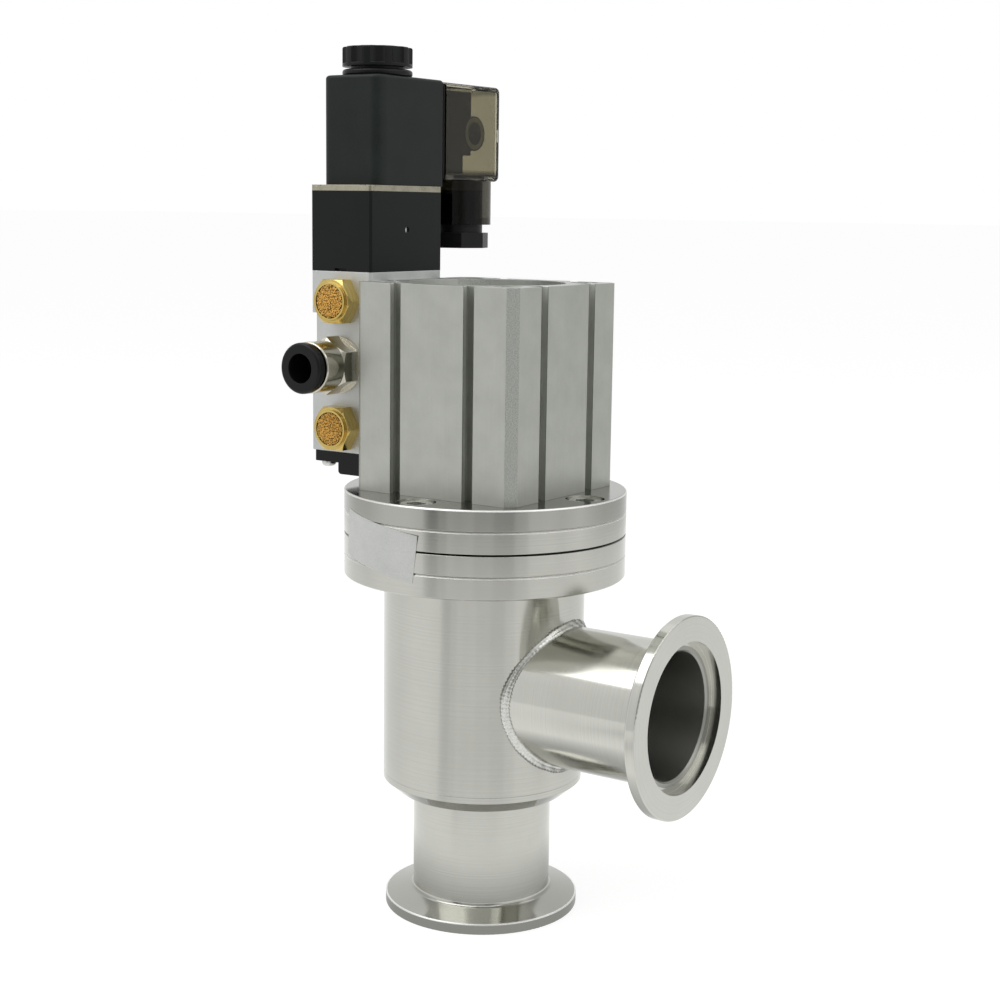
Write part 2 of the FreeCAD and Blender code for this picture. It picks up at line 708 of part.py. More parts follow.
def rod_bush():
    """Bronze bush that guides the stem."""
    return pipe(BUSH_R, STEM_D / 2 + SLIDE_GAP, BUSH_Z, ROD_SEAL_Z)


def rod_seal():
    """Lip ring above the bush."""
    return pipe(BUSH_R, STEM_D / 2 + SLIDE_GAP, ROD_SEAL_Z, ROD_SEAL_Z + ROD_SEAL_H)


def stem():
    """Valve stem and piston rod in one, tapped for the disc's screw."""
    shaft = turned([
        (0, STEM_FOOT_Z), (STEM_D / 2, STEM_FOOT_Z), (STEM_D / 2, PISTON_Z),
        (STEM_TOP_D / 2, PISTON_Z), (STEM_TOP_D / 2, STEM_TOP_Z), (0, STEM_TOP_Z),
    ])
    depth = DISC_SCREW_SEAT_Z + DISC_SCREW_LEN + LOOSE_GAP
    return shaft.cut(upright(DISC_SCREW_D / 2, STEM_FOOT_Z - 1, depth))


def valve_disc():
    """Valve disc with its hub, seal groove and the screw's sunk hole."""
    top = DISC_Z + DISC_T
    disc = turned([
        (0, DISC_Z), (DISC_R - DISC_EDGE, DISC_Z), (DISC_R, DISC_Z + DISC_EDGE), (DISC_R, top - DISC_EDGE),
        (DISC_R - DISC_EDGE, top), (HUB_R, top), (HUB_R, top + DISC_HUB_H), (0, top + DISC_HUB_H),
    ])
    depth = DISC_SEAL_D - DISC_SEAL_PROUD
    half = DISC_SEAL_D / 2 + SLIDE_GAP
    disc = disc.cut(pipe(DISC_SEAL_R + half, DISC_SEAL_R - half, DISC_Z - 1, DISC_Z + depth))
    disc = disc.cut(upright(STEM_D / 2, STEM_FOOT_Z, top + DISC_HUB_H + 1))
    disc = disc.cut(upright(DISC_SCREW_D / 2, DISC_Z - 1, STEM_FOOT_Z + 1))
    return disc.cut(upright(DISC_HEAD_D / 2 + LOOSE_GAP, DISC_Z - 1, DISC_SCREW_SEAT_Z))


def disc_seal():
    """Rubber ring in the disc, which closes on the seat."""
    return o_ring(DISC_SEAL_R, DISC_SEAL_D, DISC_Z - DISC_SEAL_PROUD + DISC_SEAL_D / 2)


def disc_screw():
    """Screw that holds the disc on the stem, seen through the inlet."""
    seat = DISC_SCREW_SEAT_Z
    head = upright(DISC_HEAD_D / 2, seat - DISC_HEAD_H, seat)
    head = head.cut(prism(6, DISC_HEAD_D / 3, seat - DISC_HEAD_H - 1, seat - DISC_HEAD_H / 2))
    return head.fuse(upright(DISC_SCREW_D / 2, seat, seat + DISC_SCREW_LEN)).removeSplitter()


def bellows():
    """Edge-welded bellows between the disc and the upper flange, with a collar at each end."""
    low_top = BELLOWS_LOW_Z + BELLOWS_COLLAR_T
    high_foot = BELLOWS_HIGH_Z - BELLOWS_COLLAR_T
    half_pitch = (high_foot - low_top) / (2 * BELLOWS_FOLDS)
    radii = (BELLOWS_IN_R, BELLOWS_OUT_R - BELLOWS_WALL)
    folds = [(radii[k % 2], low_top + k * half_pitch) for k in range(2 * BELLOWS_FOLDS + 1)]
    outside = [(r + BELLOWS_WALL, z) for r, z in folds]
    inner = BELLOWS_IN_R - BELLOWS_COLLAR_STEP
    outer = inner + BELLOWS_COLLAR_W
    return turned([
        (inner, BELLOWS_LOW_Z), (outer, BELLOWS_LOW_Z), (outer, low_top), *outside,
        (outer, high_foot), (outer, BELLOWS_HIGH_Z), (inner, BELLOWS_HIGH_Z), (inner, high_foot),
        *reversed(folds), (inner, low_top),
    ])


def bellows_ring():
    """Ring that ties the top of the bellows to the upper flange."""
    inner = BELLOWS_IN_R - 2 * BELLOWS_COLLAR_STEP
    return pipe(inner + BELLOWS_RING_W, inner, BELLOWS_HIGH_Z, JOINT_Z)


def piston():
    """Aluminium piston with the groove of its seal."""
    mid = PISTON_Z + PISTON_T / 2
    half = PISTON_SEAL_W / 2
    body = pipe(PISTON_R, STEM_TOP_D / 2, PISTON_Z, PISTON_NUT_Z)
    return body.cut(pipe(PISTON_R + 1, PISTON_R - PISTON_SEAL_DEPTH, mid - half, mid + half))


def piston_seal():
    """Lip ring round the piston."""
    mid = PISTON_Z + PISTON_T / 2
    half = PISTON_SEAL_W / 2
    return pipe(PISTON_R + SEAL_GAP, PISTON_R - PISTON_SEAL_DEPTH, mid - half, mid + half)


def piston_nut():
    """Thin nut that clamps the piston."""
    nut = prism(6, PISTON_NUT_AF, PISTON_NUT_Z, PISTON_NUT_Z + PISTON_NUT_T)
    return nut.cut(upright(STEM_TOP_D / 2, PISTON_NUT_Z - 1, STEM_TOP_Z + 1))


def cylinder_screw_places():
    """Centres of the four long screws in the cylinder's corners."""
    place = CYL_R - CYL_SCREW_INSET
    return [(sx * place, sy * place) for sx, sy in CORNERS]


def t_slot():
    """T-slot cutter in the middle of the +X face, open at both ends of the cylinder."""
    low, high = BONNET_Z - 1, CYL_TOP_Z + 1
    mouth = block(CYL_R - SLOT_DEPTH, CYL_R + 1, -SLOT_MOUTH / 2, SLOT_MOUTH / 2, low, high)
    wide = block(CYL_R - SLOT_DEPTH, CYL_R - SLOT_LIP, -SLOT_WIDE / 2, SLOT_WIDE / 2, low, high)
    return mouth.fuse(wide).removeSplitter()


def slot_cutters():
    """Two T-slots on each of the four faces."""
    cutters = []
    for quarter in range(4):
        for side in (-1, 1):
            slot = t_slot()
            slot.translate(Vector(0, side * SLOT_OFFSET, 0))
            slot.rotate(Vector(0, 0, 0), UP, 90 * quarter)
            cutters.append(slot)
    return cutters


def air_cutters():
    """Ducts from the valve block's two outlets to the chambers above and below the piston."""
    duct_x = -CYL_R + AIR_DUCT_INSET
    inside_x = -CYL_BORE_R + AIR_OVERLAP
    low, high = OUTLET_Z
    return [
        rod(AIR_HOLE_D / 2, Vector(-CYL_R - 1, SPOOL_Y, high), Vector(inside_x, SPOOL_Y, high)),
        rod(AIR_HOLE_D / 2, Vector(-CYL_R - 1, SPOOL_Y, low), Vector(duct_x, SPOOL_Y, low)),
        upright(AIR_DUCT_D / 2, AIR_LOW_Z, low, duct_x, SPOOL_Y),
        rod(AIR_DUCT_D / 2, Vector(duct_x, SPOOL_Y, AIR_LOW_Z), Vector(inside_x, SPOOL_Y, AIR_LOW_Z)),
    ]


def cylinder_body():
    """Extruded square cylinder with T-slots, bore, cap recess, air ducts and screw holes."""
    shell = block(-CYL_R, CYL_R, -CYL_R, CYL_R, BONNET_Z, CYL_TOP_Z)
    shell = shell.makeChamfer(CYL_CORNER, upright_edges(shell))
    cutters = [
        upright(CYL_BORE_R, BONNET_Z - 1, CYL_TOP_Z),
        upright(CAP_R, CAP_Z, CYL_TOP_Z + 1),
        upright(CAP_R + RING_BITE, RING_Z, RING_Z + RING_T),
    ]
    for x, y in cylinder_screw_places():
        cutters.append(upright(CYL_SCREW_D / 2 + LOOSE_GAP, BONNET_Z - 1, CYL_TOP_Z + 1, x, y))
        cutters.append(upright(CYL_HEAD_D / 2 + LOOSE_GAP, CYL_SCREW_SEAT_Z, CYL_TOP_Z + 1, x, y))
    return shell.cut(cutters + slot_cutters() + air_cutters())


def cylinder_base_seal():
    """Rubber ring round the spigot."""
    return o_ring(CYL_BORE_R - SPIGOT_SEAL_D / 2, SPIGOT_SEAL_D, BONNET_Z + SPIGOT_H / 2)


def cylinder_screws():
    """Long screws that pull the cylinder onto the upper flange."""
    return [socket_screw(CYL_HEAD_D, CYL_HEAD_H, CYL_SCREW_D, CYL_SCREW_LEN, x, y, CYL_SCREW_SEAT_Z)
            for x, y in cylinder_screw_places()]


def end_cap():
    """Round cap that closes the cylinder's top, with a pocket over the piston's nut."""
    cap = upright(CAP_R - SLIDE_GAP, CAP_Z, RING_Z)
    cap = cap.makeChamfer(CAP_EDGE, level_edges(cap, RING_Z))
    cap = cap.cut(ring_groove(CAP_R, CAP_SEAL_D, CAP_Z + CAP_T / 2))
    return cap.cut(upright(CAP_POCKET_D / 2, CAP_Z - 1, CAP_POCKET_TOP_Z))


def end_cap_seal():
    """Rubber ring round the end cap."""
    return o_ring(CAP_R - CAP_SEAL_D / 2, CAP_SEAL_D, CAP_Z + CAP_T / 2)


def retaining_ring():
    """Internal retaining ring with two eyes for the pliers."""
    outer = CAP_R + RING_BITE - SLIDE_GAP
    top = RING_Z + RING_T
    ring = pipe(outer, outer - RING_WIDTH, RING_Z, top)
    ring = ring.cut(block(-RING_MOUTH / 2, RING_MOUTH / 2, 0, outer + 1, RING_Z - 1, top + 1))
    lug_x = (RING_MOUTH + RING_LUG_D) / 2
    lug_y = math.sqrt((CAP_R - LOOSE_GAP - RING_LUG_D / 2) ** 2 - lug_x ** 2)
    for x in (-lug_x, lug_x):
        ring = ring.fuse(upright(RING_LUG_D / 2, RING_Z, top, x, lug_y))
        ring = ring.cut(upright(RING_HOLE_D / 2, RING_Z - 1, top + 1, x, lug_y))
    return ring.removeSplitter()


def mount_screw_points(x):
    """Points at one depth on the two mounting screws' axes, lower one first."""
    return [Vector(x, -SLOT_OFFSET, z) for z in OUTLET_Z]


def mount_seats():
    """Depths of the two mounting screws' seats: the lower head is sunk, the upper one is in the relief."""
    return [BLOCK_BACK_X + MOUNT_HEAD_H + LOOSE_GAP, BLOCK_BACK_X + RELIEF_DEPTH]


def port_cutters():
    """Threaded supply and exhaust ports on the -Y face, as far as the spool's undercuts."""
    reach = SPOOL_Y - SPOOL_R - UNDERCUT_DEPTH / 3
    cutters = []
    for z in PORT_Z:
        mouth = Vector(BLOCK_MID_X, BLOCK_FRONT_Y - 1, z)
        cutters.append(rod(PORT_THREAD_D / 2, mouth, Vector(BLOCK_MID_X, BLOCK_FRONT_Y + PORT_DEPTH, z)))
        cutters.append(rod(PORT_DRILL_D / 2, mouth, Vector(BLOCK_MID_X, reach, z)))
        cutters.append(undercut(z, PORT_UNDERCUT_W))
    return cutters


def undercut(z, width):
    """Ring-shaped chamber round the spool."""
    return upright(UNDERCUT_R, z - width / 2, z + width / 2, BLOCK_MID_X, SPOOL_Y)


def outlet_cutters():
    """Outlets on the cylinder's side, each with its undercut and face seal groove."""
    cutters = []
    for z in OUTLET_Z:
        face = Vector(BLOCK_FACE_X + 1, SPOOL_Y, z)
        floor = Vector(BLOCK_FACE_X - FACE_SEAL_D, SPOOL_Y, z)
        seal_r = AIR_HOLE_D / 2 + FACE_SEAL_WALL
        half = FACE_SEAL_D * GROOVE_SHARE
        cutters.append(rod(AIR_HOLE_D / 2, Vector(BLOCK_MID_X, SPOOL_Y, z), face))
        cutters.append(rod(seal_r + half, floor, face).cut(rod(seal_r - half, floor, face)))
        cutters.append(undercut(z, OUTLET_UNDERCUT_W))
    return cutters


def valve_block():
    """Aluminium block of the five-port valve."""
    body = block(BLOCK_BACK_X, BLOCK_FACE_X, BLOCK_FRONT_Y, BLOCK_REAR_Y, BLOCK_Z, BLOCK_TOP_Z)
    body = body.makeChamfer(BLOCK_EDGE, upright_edges(body))
    relief_z = BLOCK_Z + RELIEF_LOW
    cutters = [
        block(BLOCK_BACK_X - 1, BLOCK_BACK_X + RELIEF_DEPTH, BLOCK_FRONT_Y - 1, BLOCK_REAR_Y + 1,
              relief_z, relief_z + RELIEF_H),
        upright(SPOOL_R, BLOCK_Z - 1, BLOCK_TOP_Z + 1, BLOCK_MID_X, SPOOL_Y),
    ]
    for outside, seat, through in zip(mount_screw_points(BLOCK_BACK_X - 1), mount_seats(),
                                      mount_screw_points(BLOCK_FACE_X + 1)):
        cutters.append(rod(MOUNT_SCREW_D / 2 + LOOSE_GAP, outside, through))
        cutters.append(rod(MOUNT_HEAD_D / 2 + LOOSE_GAP, outside, Vector(seat, outside.y, outside.z)))
    for x, y in plate_screw_places():
        floor = BLOCK_TOP_Z - PLATE_SCREW_BITE - LOOSE_GAP
        cutters.append(upright(PLATE_SCREW_D / 2, floor, BLOCK_TOP_Z + 1, x, y))
    for x, y in cover_screw_places():
        cutters.append(upright(COVER_SCREW_D / 2, BLOCK_Z - 1, COVER_SCREW_TIP_Z + LOOSE_GAP, x, y))
    return body.cut(cutters + port_cutters() + outlet_cutters())


def port_seals():
    """Two small rubber rings between the valve block and the cylinder."""
    seal_r = AIR_HOLE_D / 2 + FACE_SEAL_WALL
    x = BLOCK_FACE_X - FACE_SEAL_D / 2
    return [o_ring(seal_r, FACE_SEAL_D, z, x, SPOOL_Y, Vector(1, 0, 0)) for z in OUTLET_Z]


def mounting_screws():
    """Pan head screws that hold the valve block to the slot nuts."""
    screws = []
    tips = mount_screw_points(-CYL_R + SLOT_LIP + SLOT_NUT_T)
    for tip, seat in zip(tips, mount_seats()):
        under = Vector(seat, tip.y, tip.z)
        crown = under - Vector(MOUNT_HEAD_H, 0, 0)
        head = rod(MOUNT_HEAD_D / 2, crown, under)
        rim = [e for e in head.Edges if abs(e.BoundBox.XMax - crown.x) < 1e-4]
        head = head.makeFillet(MOUNT_HEAD_H * PAN_ROUND_SHARE, rim)
        head = head.cut(cross_recess_x(crown))
        screws.append(head.fuse(rod(MOUNT_SCREW_D / 2, under, tip)).removeSplitter())
    return screws


def cross_recess_x(crown):
    """Cross recess in a head whose crown faces -X."""
    arm = MOUNT_HEAD_D * CROSS_ARM_SHARE
    half = CROSS_W / 2
    x0, x1 = crown.x - 1, crown.x + CROSS_DEPTH
    level = block(x0, x1, crown.y - arm, crown.y + arm, crown.z - half, crown.z + half)
    return level.fuse(block(x0, x1, crown.y - half, crown.y + half, crown.z - arm, crown.z + arm))


def slot_nuts():
    """Square nuts in the cylinder's slot."""
    nuts = []
    near = -CYL_R + SLOT_LIP
    half = SLOT_WIDE / 2 - LOOSE_GAP / 2
    for p in mount_screw_points(near):
        nut = block(near, near + SLOT_NUT_T, p.y - half, p.y + half, p.z - half, p.z + half)
        nuts.append(nut.cut(rod(MOUNT_SCREW_D / 2, p - Vector(1, 0, 0), p + Vector(SLOT_NUT_T + 1, 0, 0))))
    return nuts


def spool():
    """Spool: a neck with six lands, a pocket for its spring and a stem up to the pilot piston."""
    radius = SPOOL_R - SLIDE_GAP
    half = SPOOL_LAND_T / 2
    body = upright(NECK_R, SPOOL_FOOT_Z, PILOT_PISTON_Z, BLOCK_MID_X, SPOOL_Y)
    body = body.fuse([upright(radius, z - half, z + half, BLOCK_MID_X, SPOOL_Y) for z in SPOOL_LAND_Z])
    groove = SPOOL_SEAL_D * GROOVE_SHARE
    cutters = [pipe(radius + 1, SPOOL_R - SPOOL_SEAL_D, z - groove, z + groove, BLOCK_MID_X, SPOOL_Y)
               for z in SPOOL_LAND_Z]
    cutters.append(upright(SPRING_OD / 2 + LOOSE_GAP, SPOOL_FOOT_Z - 1, SPRING_TOP_Z, BLOCK_MID_X, SPOOL_Y))
    return body.removeSplitter().cut(cutters)


def spool_seals():
    """Rubber rings on the spool's lands."""
    ring_r = SPOOL_R - SPOOL_SEAL_D / 2 - SEAL_GAP
    return [o_ring(ring_r, SPOOL_SEAL_D, z, BLOCK_MID_X, SPOOL_Y) for z in SPOOL_LAND_Z]


def spool_spring():
    """Spring that pushes the spool up, from the cover's floor into the spool's pocket."""
    return coil_spring(SPRING_OD, SPRING_WIRE, SPRING_TURNS, COVER_FLOOR_Z, SPRING_TOP_Z, BLOCK_MID_X, SPOOL_Y)


def pilot_piston():
    """Disc on the spool's head that the pilot air pushes down."""
    top = PILOT_PISTON_Z + PILOT_PISTON_T
    disc = upright(PILOT_R - SLIDE_GAP, PILOT_PISTON_Z, top, BLOCK_MID_X, SPOOL_Y)
    return disc.makeChamfer(PILOT_TOP_GAP, level_edges(disc, top))


def cover_screw_places():
    """Centres of the two screws of the lower cover."""
    x = BLOCK_BACK_X + COVER_SCREW_INSET_X
    return [(x, BLOCK_FRONT_Y + COVER_SCREW_INSET_Y), (x, BLOCK_REAR_Y - COVER_SCREW_INSET_Y)]


def spool_cover():
    """Black cover under the block: a thin step on the -X side and a deeper part by the cylinder."""
    left = BLOCK_BACK_X + COVER_EDGE
    thin = block(left, BLOCK_FACE_X, BLOCK_FRONT_Y, BLOCK_REAR_Y, BLOCK_Z - COVER_T, BLOCK_Z)
    thin = thin.makeFillet(COVER_EDGE, upright_edges(thin, lambda p: p.x < left + COVER_EDGE))
    deep_x = BLOCK_FACE_X - COVER_DEEP_X
    deep = block(deep_x, BLOCK_FACE_X, BLOCK_FRONT_Y, BLOCK_REAR_Y, BLOCK_Z - COVER_DEEP, BLOCK_Z - COVER_T)
    corner = [e for e in level_edges(deep, BLOCK_Z - COVER_DEEP) if e.BoundBox.XMax < deep_x + COVER_EDGE]
    body = thin.fuse(deep.makeFillet(COVER_EDGE, corner)).removeSplitter()
    body = body.cut(upright(SPOOL_R + LOOSE_GAP, COVER_FLOOR_Z, BLOCK_Z + 1, BLOCK_MID_X, SPOOL_Y))
    for x, y in cover_screw_places():
        body = body.cut(upright(COVER_SCREW_D / 2 + LOOSE_GAP, BLOCK_Z - COVER_DEEP - 1, BLOCK_Z + 1, x, y))
    return body


def cover_screws():
    """Pan head screws, heads down, that hold the lower cover."""
    screws = []
    seat = BLOCK_Z - COVER_T
    for x, y in cover_screw_places():
        head = upright(COVER_HEAD_D / 2, seat - COVER_HEAD_H, seat, x, y)
        head = head.makeFillet(COVER_HEAD_H * PAN_ROUND_SHARE, level_edges(head, seat - COVER_HEAD_H))
        screws.append(head.fuse(upright(COVER_SCREW_D / 2, seat, COVER_SCREW_TIP_Z, x, y)).removeSplitter())
    return screws


def plate_screw_places():
    """Centres of the four long screws of the pilot stage."""
    dx = BLOCK_X / 2 - PLATE_SCREW_INSET
    dy = BLOCK_Y / 2 - PLATE_SCREW_INSET
    return [(BLOCK_MID_X + sx * dx, BLOCK_SHIFT_Y + sy * dy) for sx, sy in CORNERS]


def pilot_body():
    """Black pilot housing: piston pocket below, nozzle and core well above, override hole at the side."""
    body = block(BLOCK_BACK_X, BLOCK_FACE_X, BLOCK_FRONT_Y, BLOCK_REAR_Y, BLOCK_TOP_Z, PILOT_TOP_Z)
    body = body.makeChamfer(PILOT_EDGE, upright_edges(body))
    x, y = BLOCK_MID_X, BLOCK_SHIFT_Y
    well_floor = PILOT_TOP_Z - NOZZLE_WELL
    hole = override_mouth()
    depth = OVERRIDE_SINK + OVERRIDE_LEN + OVERRIDE_TRAVEL + LOOSE_GAP
    cutters = [
        upright(PILOT_R, BLOCK_TOP_Z - 1, BLOCK_TOP_Z + PILOT_POCKET, x, SPOOL_Y),
        upright(CORE_FLANGE_D / 2, CORE_FOOT_Z, PILOT_TOP_Z + 1, x, y),
        upright(NOZZLE_WELL_D / 2, well_floor, PILOT_TOP_Z, x, y),
        rod(OVERRIDE_D / 2 + SLIDE_GAP, hole + Vector(1, 0, 0), hole - Vector(depth, 0, 0)),
        block(x - VENT_W / 2, x + VENT_W / 2, BLOCK_FRONT_Y - 1, BLOCK_FRONT_Y + VENT_DEPTH,
              BLOCK_TOP_Z - 1, BLOCK_TOP_Z + VENT_H),
    ]
    for sx, sy in plate_screw_places():
        cutters.append(upright(PLATE_SCREW_D / 2 + LOOSE_GAP, BLOCK_TOP_Z - 1, PILOT_TOP_Z + 1, sx, sy))
    body = body.cut(cutters).fuse(upright(NOZZLE_D / 2, well_floor, NOZZLE_TOP_Z, x, y)).removeSplitter()
    return body.cut(upright(NOZZLE_HOLE_D / 2, BLOCK_TOP_Z + PILOT_POCKET - 1, NOZZLE_TOP_Z + 1, x, y))


def override_mouth():
    """Mouth of the manual override's hole on the +X face."""
    return Vector(BLOCK_FACE_X, BLOCK_SHIFT_Y, BLOCK_TOP_Z + PILOT_POCKET + OVERRIDE_RISE)


def override_pin():
    """Manual override: a pin that is pushed in with a small tool."""
    face = override_mouth() - Vector(OVERRIDE_SINK, 0, 0)
    return rod(OVERRIDE_D / 2, face - Vector(OVERRIDE_LEN, 0, 0), face)


def plate_screw_head(x, y):
    """Countersunk head, flush with the plate."""
    head_r = PLATE_HEAD_D / 2
    return turned([
        (0, PILOT_TOP_Z), (PLATE_SCREW_D / 2, PILOT_TOP_Z), (head_r, PLATE_TOP_Z - PLATE_HEAD_RIM),
        (head_r, PLATE_TOP_Z), (0, PLATE_TOP_Z),
    ], x, y)


def pilot_plate():
    """Steel plate that clamps the core tube's flange."""
    plate = block(BLOCK_BACK_X, BLOCK_FACE_X, BLOCK_FRONT_Y, BLOCK_REAR_Y, PILOT_TOP_Z, PLATE_TOP_Z)
    plate = plate.makeFillet(PLATE_EDGE, upright_edges(plate))
    plate = plate.cut(upright(CORE_R + SLIDE_GAP, PILOT_TOP_Z - 1, PLATE_TOP_Z + 1, BLOCK_MID_X, BLOCK_SHIFT_Y))
    return plate.cut([plate_screw_head(x, y) for x, y in plate_screw_places()])


def plate_screws():
    """Long countersunk screws through plate and pilot body into the block."""
    screws = []
    arm = PLATE_HEAD_D * CROSS_ARM_SHARE
    half = CROSS_W / 2
    for x, y in plate_screw_places():
        shank = upright(PLATE_SCREW_D / 2, BLOCK_TOP_Z - PLATE_SCREW_BITE, PILOT_TOP_Z, x, y)
        screw = plate_screw_head(x, y).fuse(shank).removeSplitter()
        for dx, dy in ((arm, half), (half, arm)):
            screw = screw.cut(block(x - dx, x + dx, y - dy, y + dy, PLATE_TOP_Z - CROSS_DEPTH, PLATE_TOP_Z + 1))
        screws.append(screw)
    return screws


def core_tube():
    """Core tube: flange under the plate, blind bore for the plunger, threaded top for the nut."""
    x, y = BLOCK_MID_X, BLOCK_SHIFT_Y
    top = NUT_TOP_Z - NUT_TOP_T
    body = turned([
        (0, CORE_FOOT_Z), (CORE_FLANGE_D / 2, CORE_FOOT_Z), (CORE_FLANGE_D / 2, PILOT_TOP_Z),
        (CORE_R, PILOT_TOP_Z), (CORE_R, NUT_Z), (CORE_THREAD_R, NUT_Z), (CORE_THREAD_R, top), (0, top),
    ], x, y)
    return body.cut(upright(CORE_BORE / 2, CORE_FOOT_Z - 1, CORE_STOP_Z, x, y))


def plunger():
    """Steel plunger that lifts off the nozzle."""
    x, y = BLOCK_MID_X, BLOCK_SHIFT_Y
    body = upright(CORE_BORE / 2 - SLIDE_GAP, PLUNGER_Z, PLUNGER_TOP_Z, x, y)
    return body.cut(upright(PLUNGER_SPRING_OD / 2 + LOOSE_GAP, PLUNGER_SPRING_Z, PLUNGER_TOP_Z + 1, x, y))


def plunger_spring():
    """Spring that keeps the plunger on the nozzle."""
    return coil_spring(PLUNGER_SPRING_OD, PLUNGER_SPRING_WIRE, PLUNGER_SPRING_TURNS, PLUNGER_SPRING_Z, CORE_STOP_Z,
                       BLOCK_MID_X, BLOCK_SHIFT_Y)


def coil_pins(slack=0.0):
    """Three flat contact pins on the coil's back face: two side by side and the earth below."""
    half_w, half_t = PIN_W / 2 + slack, PIN_T / 2 + slack
    pins = []
    for dx, dz in ((-PIN_SPREAD / 2, PIN_SPREAD / 2), (PIN_SPREAD / 2, PIN_SPREAD / 2), (0, -PIN_SPREAD)):
        half_x, half_z = (half_t, half_w) if dx else (half_w, half_t)
        x, z = BLOCK_MID_X + dx, CONN_MID_Z + dz
        pins.append(block(x - half_x, x + half_x, COIL_REAR_Y - 1, COIL_REAR_Y + PIN_LEN, z - half_z, z + half_z))
    return pins


def connector_axis(radius, y0, y1):
    """Cylinder on the connector screw's axis."""
    return rod(radius, Vector(BLOCK_MID_X, y0, CONN_MID_Z), Vector(BLOCK_MID_X, y1, CONN_MID_Z))


def coil():
    """Moulded coil with its contact pins."""
    half = COIL_X / 2
    body = block(BLOCK_MID_X - half, BLOCK_MID_X + half, COIL_FRONT_Y, COIL_REAR_Y, PLATE_TOP_Z, COIL_TOP_Z)
    body = body.makeFillet(COIL_CORNER, upright_edges(body, lambda p: p.y < BLOCK_SHIFT_Y))
    body = body.makeFillet(COIL_BACK_CORNER, upright_edges(body, lambda p: p.y > COIL_REAR_Y - 1e-3))
    body = body.makeFillet(COIL_TOP_EDGE, level_edges(body, COIL_TOP_Z))
    body = body.cut(upright(CORE_R + SLIDE_GAP, PLATE_TOP_Z - 1, COIL_TOP_Z + 1, BLOCK_MID_X, BLOCK_SHIFT_Y))
    floor = COIL_REAR_Y - CONN_SCREW_BITE - LOOSE_GAP
    return body.fuse(coil_pins()).cut(connector_axis(CONN_SCREW_D / 2, floor, COIL_REAR_Y + 1))


def coil_washer():
    """Black ring under the coil nut."""
    ring = pipe(NUT_D / 2, CORE_R + SLIDE_GAP, COIL_TOP_Z, NUT_Z, BLOCK_MID_X, BLOCK_SHIFT_Y)
    return ring.makeFillet(WASHER_T * WASHER_ROUND_SHARE, level_edges(ring, COIL_TOP_Z, NUT_D) + level_edges(ring, NUT_Z, NUT_D))


def coil_nut():
    """Fluted plastic nut that holds the coil."""
    x, y = BLOCK_MID_X, BLOCK_SHIFT_Y
    head = upright(NUT_D / 2, NUT_HEAD_Z, NUT_TOP_Z, x, y)
    head = head.makeFillet(NUT_RIM * NUT_ROUND_SHARE, level_edges(head, NUT_TOP_Z))
    for fx, fy in on_circle(NUT_FLUTES, NUT_D / 2 + NUT_FLUTE_R - NUT_FLUTE_DEPTH, NUT_TURN):
        head = head.cut(upright(NUT_FLUTE_R, NUT_HEAD_Z + NUT_RIM, NUT_TOP_Z + 1, x + fx, y + fy))
    nut = head.fuse(upright(NUT_NECK_D / 2, NUT_Z, NUT_HEAD_Z, x, y)).removeSplitter()
    return nut.cut(upright(CORE_THREAD_R, NUT_Z - 1, NUT_TOP_Z - NUT_TOP_T, x, y))


def connector_gasket():
    """Flat gasket between coil and connector."""
    half = CONN_X / 2 - GASKET_INSET
    pad = block(BLOCK_MID_X - half, BLOCK_MID_X + half, COIL_REAR_Y, CONN_FRONT_Y,
                CONN_Z + GASKET_INSET, CONN_TOP_Z - GASKET_INSET)
    return pad.cut(coil_pins()).cut(connector_axis(CONN_SCREW_D / 2, COIL_REAR_Y - 1, CONN_FRONT_Y + 1))


def connector_case(inset):
    """Outline of the connector's case, or of its inside, rounded at the back."""
    half = CONN_X / 2 - inset
    rear = CONN_REAR_Y - inset
    case = block(BLOCK_MID_X - half, BLOCK_MID_X + half, CONN_FRONT_Y, rear, CONN_Z + inset, CONN_TOP_Z - inset)
    back = [e for e in case.Edges if e.BoundBox.YMin > rear - 1e-3]
    case = case.makeFillet(CONN_BACK_ROUND - inset, back)
    if inset > 0:
        return case
    sides = [e for e in case.Edges if e.BoundBox.YMin < CONN_FRONT_Y + 1e-3 < e.BoundBox.YMax]
    return case.makeFillet(CONN_CORNER, sides)


def connector_housing():
    """Smoky case of the cable connector with its downward cable sleeve."""
    sleeve = upright(SLEEVE_R, SLEEVE_Z, CONN_Z + CONN_WALL, BLOCK_MID_X, SLEEVE_Y)
    mouth = upright(SLEEVE_BORE_R, SLEEVE_Z - 1, CONN_Z + CONN_WALL + 1, BLOCK_MID_X, SLEEVE_Y)
    tower_r = CONN_HEAD_D / 2 + CONN_TOWER_WALL
    tower = connector_axis(tower_r, INSERT_REAR_Y, CONN_REAR_Y - CONN_WALL / 2)
    room = connector_case(CONN_WALL)
    room = room.fuse(block(room.BoundBox.XMin, room.BoundBox.XMax, CONN_FRONT_Y - 1, CONN_FRONT_Y,
                           room.BoundBox.ZMin, room.BoundBox.ZMax))
    body = connector_case(0.0).fuse(sleeve).cut(room).cut(mouth).fuse(tower)
    body = body.cut(connector_axis(CONN_SCREW_D / 2 + LOOSE_GAP, CONN_FRONT_Y, CONN_REAR_Y + 1))
    return body.cut(connector_axis(CONN_HEAD_D / 2 + LOOSE_GAP, CONN_SCREW_SEAT_Y, CONN_REAR_Y + 1)).removeSplitter()


